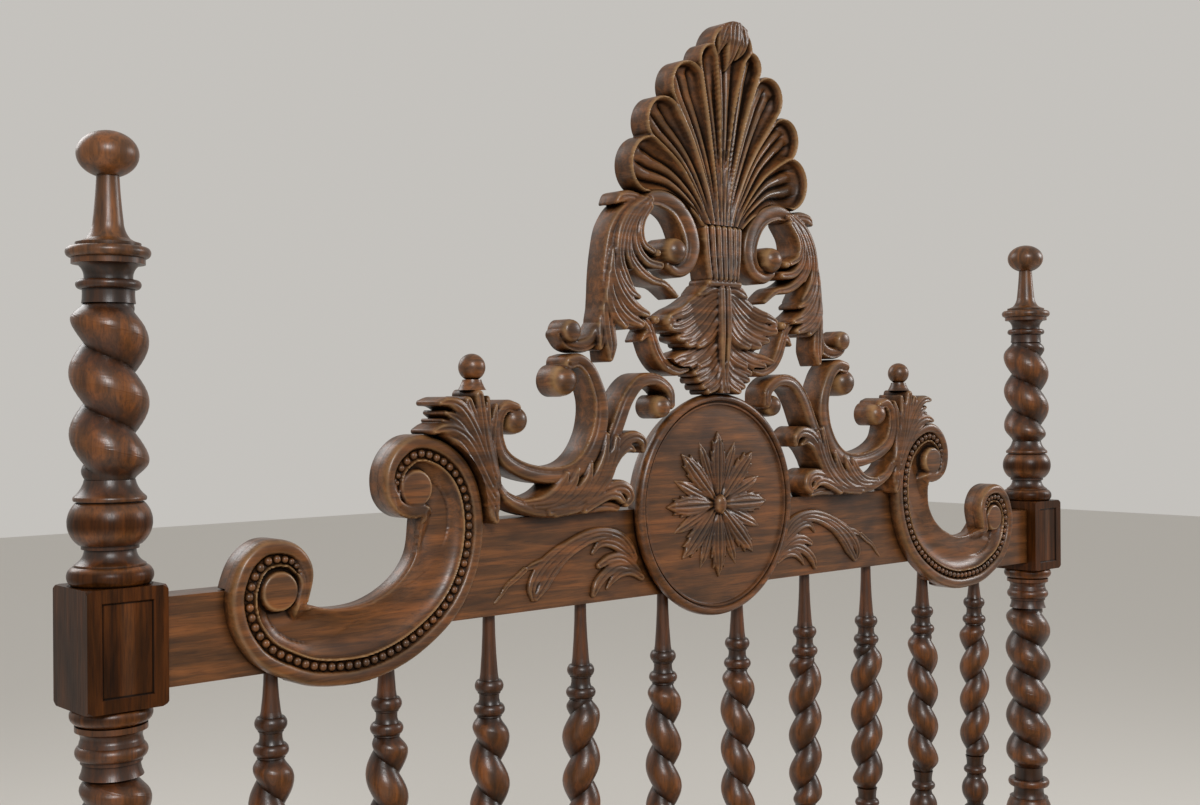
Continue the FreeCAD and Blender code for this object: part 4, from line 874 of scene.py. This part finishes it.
class WoodColours(bpy.types.PropertyGroup):
    # Deep brown is painted shade: it darkens the low places, the crevices and the edges of the sunk panels, where
    # shade falls
    deep: FloatVectorProperty(name="Deep brown", description="Dirt and old wax in the low places", size=4,
                              default=linear("#120A05"), subtype="COLOR")
    shade: FloatVectorProperty(name="Shade", description="Dark streaks along the grain", size=4,
                               default=linear("#33200F"), subtype="COLOR")
    brown: FloatVectorProperty(name="Brown", description="The wood's main colour", size=4,
                               default=linear("#56371C"), subtype="COLOR")
    amber: FloatVectorProperty(name="Amber", description="Warm streaks along the grain", size=4,
                               default=linear("#7F5029"), subtype="COLOR")
    # The worn edge colour lightens the high places: partly edges rubbed bare, partly painted highlight
    worn_and_highlight: FloatVectorProperty(name="Worn edge", description="Edges rubbed bare by hands", size=4,
                              default=linear("#A98459"), subtype="COLOR")


class BED_OT_woods(bpy.types.Operator):
    """Mix the woods and the steel, and finish every solid that keeps its own shape"""
    bl_idname = "bed.woods"
    bl_label = "Woods"

    def execute(self, context):
        colours = context.scene.bed_colours
        finishes = (
            ("bed_bolt", blackened_steel("blackened_steel")),
            ("slat_ledger", planed_pine("planed_pine_ledger", "lengthwise")),
            ("slat_", planed_pine("planed_pine_slat", "across")),
            ("side_rail", waxed_walnut("waxed_walnut_side", "lengthwise", colours, 10.0)),
            ("rail", waxed_walnut("waxed_walnut_rail", "across", colours, 10.0)),
            ("_post_", waxed_walnut("waxed_walnut_post", "upright", colours, 3.0, POST_ROW, POST_PANELS)),
            ("spindle", waxed_walnut("waxed_walnut_spindle", "upright", colours, 7.0, SPINDLE_ROW)),
            ("finial", waxed_walnut("waxed_walnut_turned", "upright", colours, 12.0)),
            ("", waxed_walnut("waxed_walnut_carved", "across", colours, 9.0)),
        )
        for name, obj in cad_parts.items():
            finish = next(finish for key, finish in finishes if key in name)
            if not obj.material_slots:
                obj.data.materials.append(finish)
            for slot in obj.material_slots:
                slot.material = finish
        return {"FINISHED"}


class BED_OT_scroll_brackets(bpy.types.Operator):
    """Carve the two scroll brackets: a rolled rim, a row of beads, a hollow and two eyes"""
    bl_idname = "bed.scroll_brackets"
    bl_label = "Scroll brackets"

    def execute(self, context):
        sizes = context.scene.bed_sizes
        rim, bead = sizes.rim_width / MM, sizes.bead_radius / MM
        low, high = BRACKET_LOW / MM, BRACKET_HIGH / MM
        region = (low.x - 3, low.z - CREST_BASE - 3, high.x + 3, high.z - CREST_BASE + 3)
        board = cut_board("bracket_board", bracket_field(rim, bead), region, low.y, RAIL_FRONT,
                          sizes.gouge_step / MM)
        behind = clear_of(lambda x, z: (in_bracket(x, z), 0 * x), in_rails)
        pad = cut_board("bracket_pad", behind, region, RAIL_FRONT - 0.6, high.y, 2.5)
        beads = self.bead_row(rim, bead, sizes.bead_pitch / MM, low.y + 2.6)
        paired(joined([board, pad, beads], "carved_bracket_right"), "scroll_bracket_right")
        return {"FINISHED"}

    def bead_row(self, rim, bead, pitch, y):
        """Beads of falling size along the groove, their middles at that depth."""
        along = np.arange(10, RIM_END - 9)
        inset, size = bead_run(along, rim, bead)
        ahead = np.gradient(RIM_LINE, axis=0)[along]
        ahead /= np.linalg.norm(ahead, axis=1)[:, None]
        line = RIM_LINE[along] + np.stack([ahead[:, 1], -ahead[:, 0]], -1) * inset[:, None]
        far = np.concatenate([[0], np.cumsum(np.linalg.norm(np.diff(line, axis=0), axis=1))])
        bpy.ops.mesh.primitive_uv_sphere_add(segments=12, ring_count=8, radius=bead * MM, calc_uvs=False)
        first = bpy.context.object
        mark = first.data.attributes.new("wear", "FLOAT", "POINT")
        # The front halves of the beads get the rim's value; the back halves, towards the board, get painted shade
        mark.data.foreach_set("value", [RIM_WEAR_AND_HIGHLIGHT if v.co.y < 0 else -0.3 for v in first.data.vertices])
        beads, place = [], 0.0
        while place < far[-1]:
            x, z = np.interp(place, far, line[:, 0]), np.interp(place, far, line[:, 1])
            share = float(np.interp(place, far, size))
            piece = first.copy()
            piece.data = first.data.copy()
            piece.data.transform(Matrix.Translation((x * MM, y * MM, (z + CREST_BASE) * MM)) @ Matrix.Scale(share, 4))
            bpy.context.collection.objects.link(piece)
            beads.append(piece)
            place += pitch * share
        bpy.data.objects.remove(first)
        row = joined(beads, "beads")
        bpy.ops.object.shade_smooth()
        return row


class BED_OT_medallion(bpy.types.Operator):
    """Turn the medallion's disc with its rolled rim and double line"""
    bl_idname = "bed.medallion"
    bl_label = "Medallion"

    def execute(self, context):
        low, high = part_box("medallion_disc")
        radius, front, back = (high.x - low.x) / 2 / MM, low.y / MM, high.y / MM
        field = front + FIELD_SUNK - 0.3
        outline = [(radius * 0.93, back), (radius * 0.95, back - 12)]
        outline += [(radius - inset, front + behind) for inset, behind in DISC_RIM]
        outline += [(radius * 0.5, field), (2.0, field)]
        disc = named(turned(outline, (low.z + high.z) / 2 / MM, 128), "turned_medallion")
        bpy.ops.mesh.primitive_cube_add(size=1, location=(0, (RAIL_FRONT + 30) * MM, (CREST_BASE - 100) * MM),
                                        scale=(0.4, 0.06, 0.2))
        rail_space = bpy.context.object
        trim = disc.modifiers.new("seat on the rail", "BOOLEAN")
        trim.object, trim.operation, trim.solver = rail_space, "DIFFERENCE", "EXACT"
        activate(disc)
        bpy.ops.object.modifier_apply(modifier=trim.name)
        bpy.data.objects.remove(rail_space)
        placed(disc, "medallion_disc")
        return {"FINISHED"}


class BED_OT_rosette(bpy.types.Operator):
    """Carve the rosette: long and short serrated petals round a boss"""
    bl_idname = "bed.rosette"
    bl_label = "Rosette"

    def execute(self, context):
        sizes = context.scene.bed_sizes
        strokes = []
        for index in range(sizes.petals):
            turn, short = index * 2 * math.pi / sizes.petals, index % 2
            share, lower, slim = (sizes.short_petal, 1.6, 0.75) if short else (1.0, 0.0, 1.0)
            for kind, lift, widths, points in PETAL[:1] if short else PETAL:
                line = [(share * (x * math.cos(turn) + z * math.sin(turn)),
                         share * (z * math.cos(turn) - x * math.sin(turn))) for x, z in points]
                strokes.append((kind, [value - lower for value in lift], [value * slim for value in widths], line))
        strokes.append(("ball", (0, 0), (9.5, 9.5), ((0, -2.5), (0, 2.5))))
        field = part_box("medallion_disc")[0].y / MM + FIELD_SUNK
        placed(cut_board("carved_rosette", carved(strokes, 2.0), (-90, -90, 90, 90), field - 2.4, field + 0.3, 0.9),
               "medallion_rosette")
        return {"FINISHED"}


class BED_OT_crest(bpy.types.Operator):
    """Carve the crest: lower and upper scrolls, pendant and shell"""
    bl_idname = "bed.crest"
    bl_label = "Crest"

    def execute(self, context):
        cell = context.scene.bed_sizes.gouge_step / MM
        in_lower, in_upper, in_pendant = inside(LOWER_SCROLL), inside(UPPER_SCROLL), inside(PENDANT)
        lower = clear_of(carved(LOWER_SCROLL), in_bracket, in_disc)
        upper = clear_of(carved(UPPER_SCROLL), in_lower)
        pendant = clear_of(carved(PENDANT), in_disc, in_lower, in_upper, lambda x, z: z - BINDING_TOP)
        shell = clear_of(shell_field, in_upper, lambda x, z: np.minimum(in_pendant(x, z), BINDING_TOP - z))
        for name, field, region, give in (
                ("lower_scroll_right", lower, (70, -4, 440, 190), paired),
                ("upper_scroll_right", upper, (30, 130, 262, 380), paired),
                ("pendant", pendant, (-106, 125, 106, 345), placed)):
            low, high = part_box("crest_" + name)
            give(cut_board("carved_" + name, field, region, low.y / MM + LEAF_RISE, high.y / MM, cell),
                 "crest_" + name)
        placed(cut_board("carved_shell", shell, (-170, 320, 170, 592), RAIL_FRONT - 23, RAIL_FRONT + 4, cell,
                         shell_lean), "crest_shell")
        return {"FINISHED"}


class BED_OT_rail_leaves(bpy.types.Operator):
    """Carve the flat leaves on the face of the crest rail, on both sides of the medallion"""
    bl_idname = "bed.rail_leaves"
    bl_label = "Rail leaves"

    def execute(self, context):
        field = clear_of(carved(RAIL_LEAVES, 1.6), in_disc)
        paired(cut_board("carved_rail_leaf_right", field, (110, -101, 345, -14), RAIL_FRONT - 1.4, RAIL_FRONT + 0.4,
                         1.0))
        return {"FINISHED"}


class BED_OT_stage(bpy.types.Operator):
    """Set the floor, the lights and the camera"""
    bl_idname = "bed.stage"
    bl_label = "Stage"

    def execute(self, context):
        bpy.ops.mesh.primitive_plane_add(size=30, location=(0, 0, 0))
        floor = named(bpy.context.object, "studio_floor")
        material = bpy.data.materials.new("pale_floor")
        finished(nodes_of(material), {"Base Color": linear(STUDIO_GREY), "Roughness": 0.8})
        floor.data.materials.append(material)
        world = bpy.data.worlds.new("studio")
        context.scene.world = world
        tree = nodes_of(world)
        backdrop = add(tree, "Background", {"Color": linear(STUDIO_GREY), "Strength": 0.8})
        add(tree, "OutputWorld", (), Surface=backdrop.outputs["Background"])
        for name, (place, target, size, watts) in LAMPS.items():
            data = bpy.data.lights.new(name, "AREA")
            data.shape, data.size, data.energy = "DISK", size, watts
            lamp = bpy.data.objects.new(name, data)
            lamp.location = place
            lamp.rotation_euler = (Vector(target) - Vector(place)).to_track_quat("-Z", "Y").to_euler()
            bpy.context.collection.objects.link(lamp)
        camera = bpy.data.objects.new("camera", bpy.data.cameras.new("camera"))
        bpy.context.collection.objects.link(camera)
        yaw, pitch, roll = (math.radians(turn) for turn in CAMERA_TURNS)
        camera.matrix_world = (Matrix.Translation(CAMERA_PLACE) @ Matrix.Rotation(-yaw, 4, "Z")
                               @ Matrix.Rotation(math.pi / 2 + pitch, 4, "X") @ Matrix.Rotation(roll, 4, "Z"))
        camera.data.sensor_width = SENSOR_WIDTH
        camera.data.lens = FOCAL_PIXELS / PICTURE_PIXELS * SENSOR_WIDTH
        camera.data.clip_start = 0.02
        context.scene.camera = camera
        context.scene.view_settings.view_transform = "Standard"
        return {"FINISHED"}


class BED_PT_panel(bpy.types.Panel):
    """The bed's pieces and their sizes"""
    bl_idname = "BED_PT_panel"
    bl_label = "Spiral post bed"
    bl_space_type = "VIEW_3D"
    bl_region_type = "UI"
    bl_category = "Bed"

    def draw(self, context):
        for group in (context.scene.bed_sizes, context.scene.bed_colours):
            for key in group.bl_rna.properties.keys():
                if key not in ("rna_type", "name"):
                    self.layout.prop(group, key)
        for operator in OPERATORS:
            self.layout.operator(operator.bl_idname)


OPERATORS = (BED_OT_woods, BED_OT_scroll_brackets, BED_OT_medallion, BED_OT_rosette, BED_OT_crest, BED_OT_rail_leaves,
             BED_OT_stage)
CLASSES = (BedSizes, WoodColours) + OPERATORS + (BED_PT_panel,)


def register():
    for item in CLASSES:
        bpy.utils.register_class(item)
    bpy.types.Scene.bed_sizes = PointerProperty(type=BedSizes)
    bpy.types.Scene.bed_colours = PointerProperty(type=WoodColours)


def unregister():
    del bpy.types.Scene.bed_colours
    del bpy.types.Scene.bed_sizes
    for item in reversed(CLASSES):
        bpy.utils.unregister_class(item)


def main():
    register()
    bpy.ops.bed.woods()
    bpy.ops.bed.scroll_brackets()
    bpy.ops.bed.medallion()
    bpy.ops.bed.rosette()
    bpy.ops.bed.crest()
    bpy.ops.bed.rail_leaves()
    bpy.ops.bed.stage()


if __name__ == "__main__":
    main()
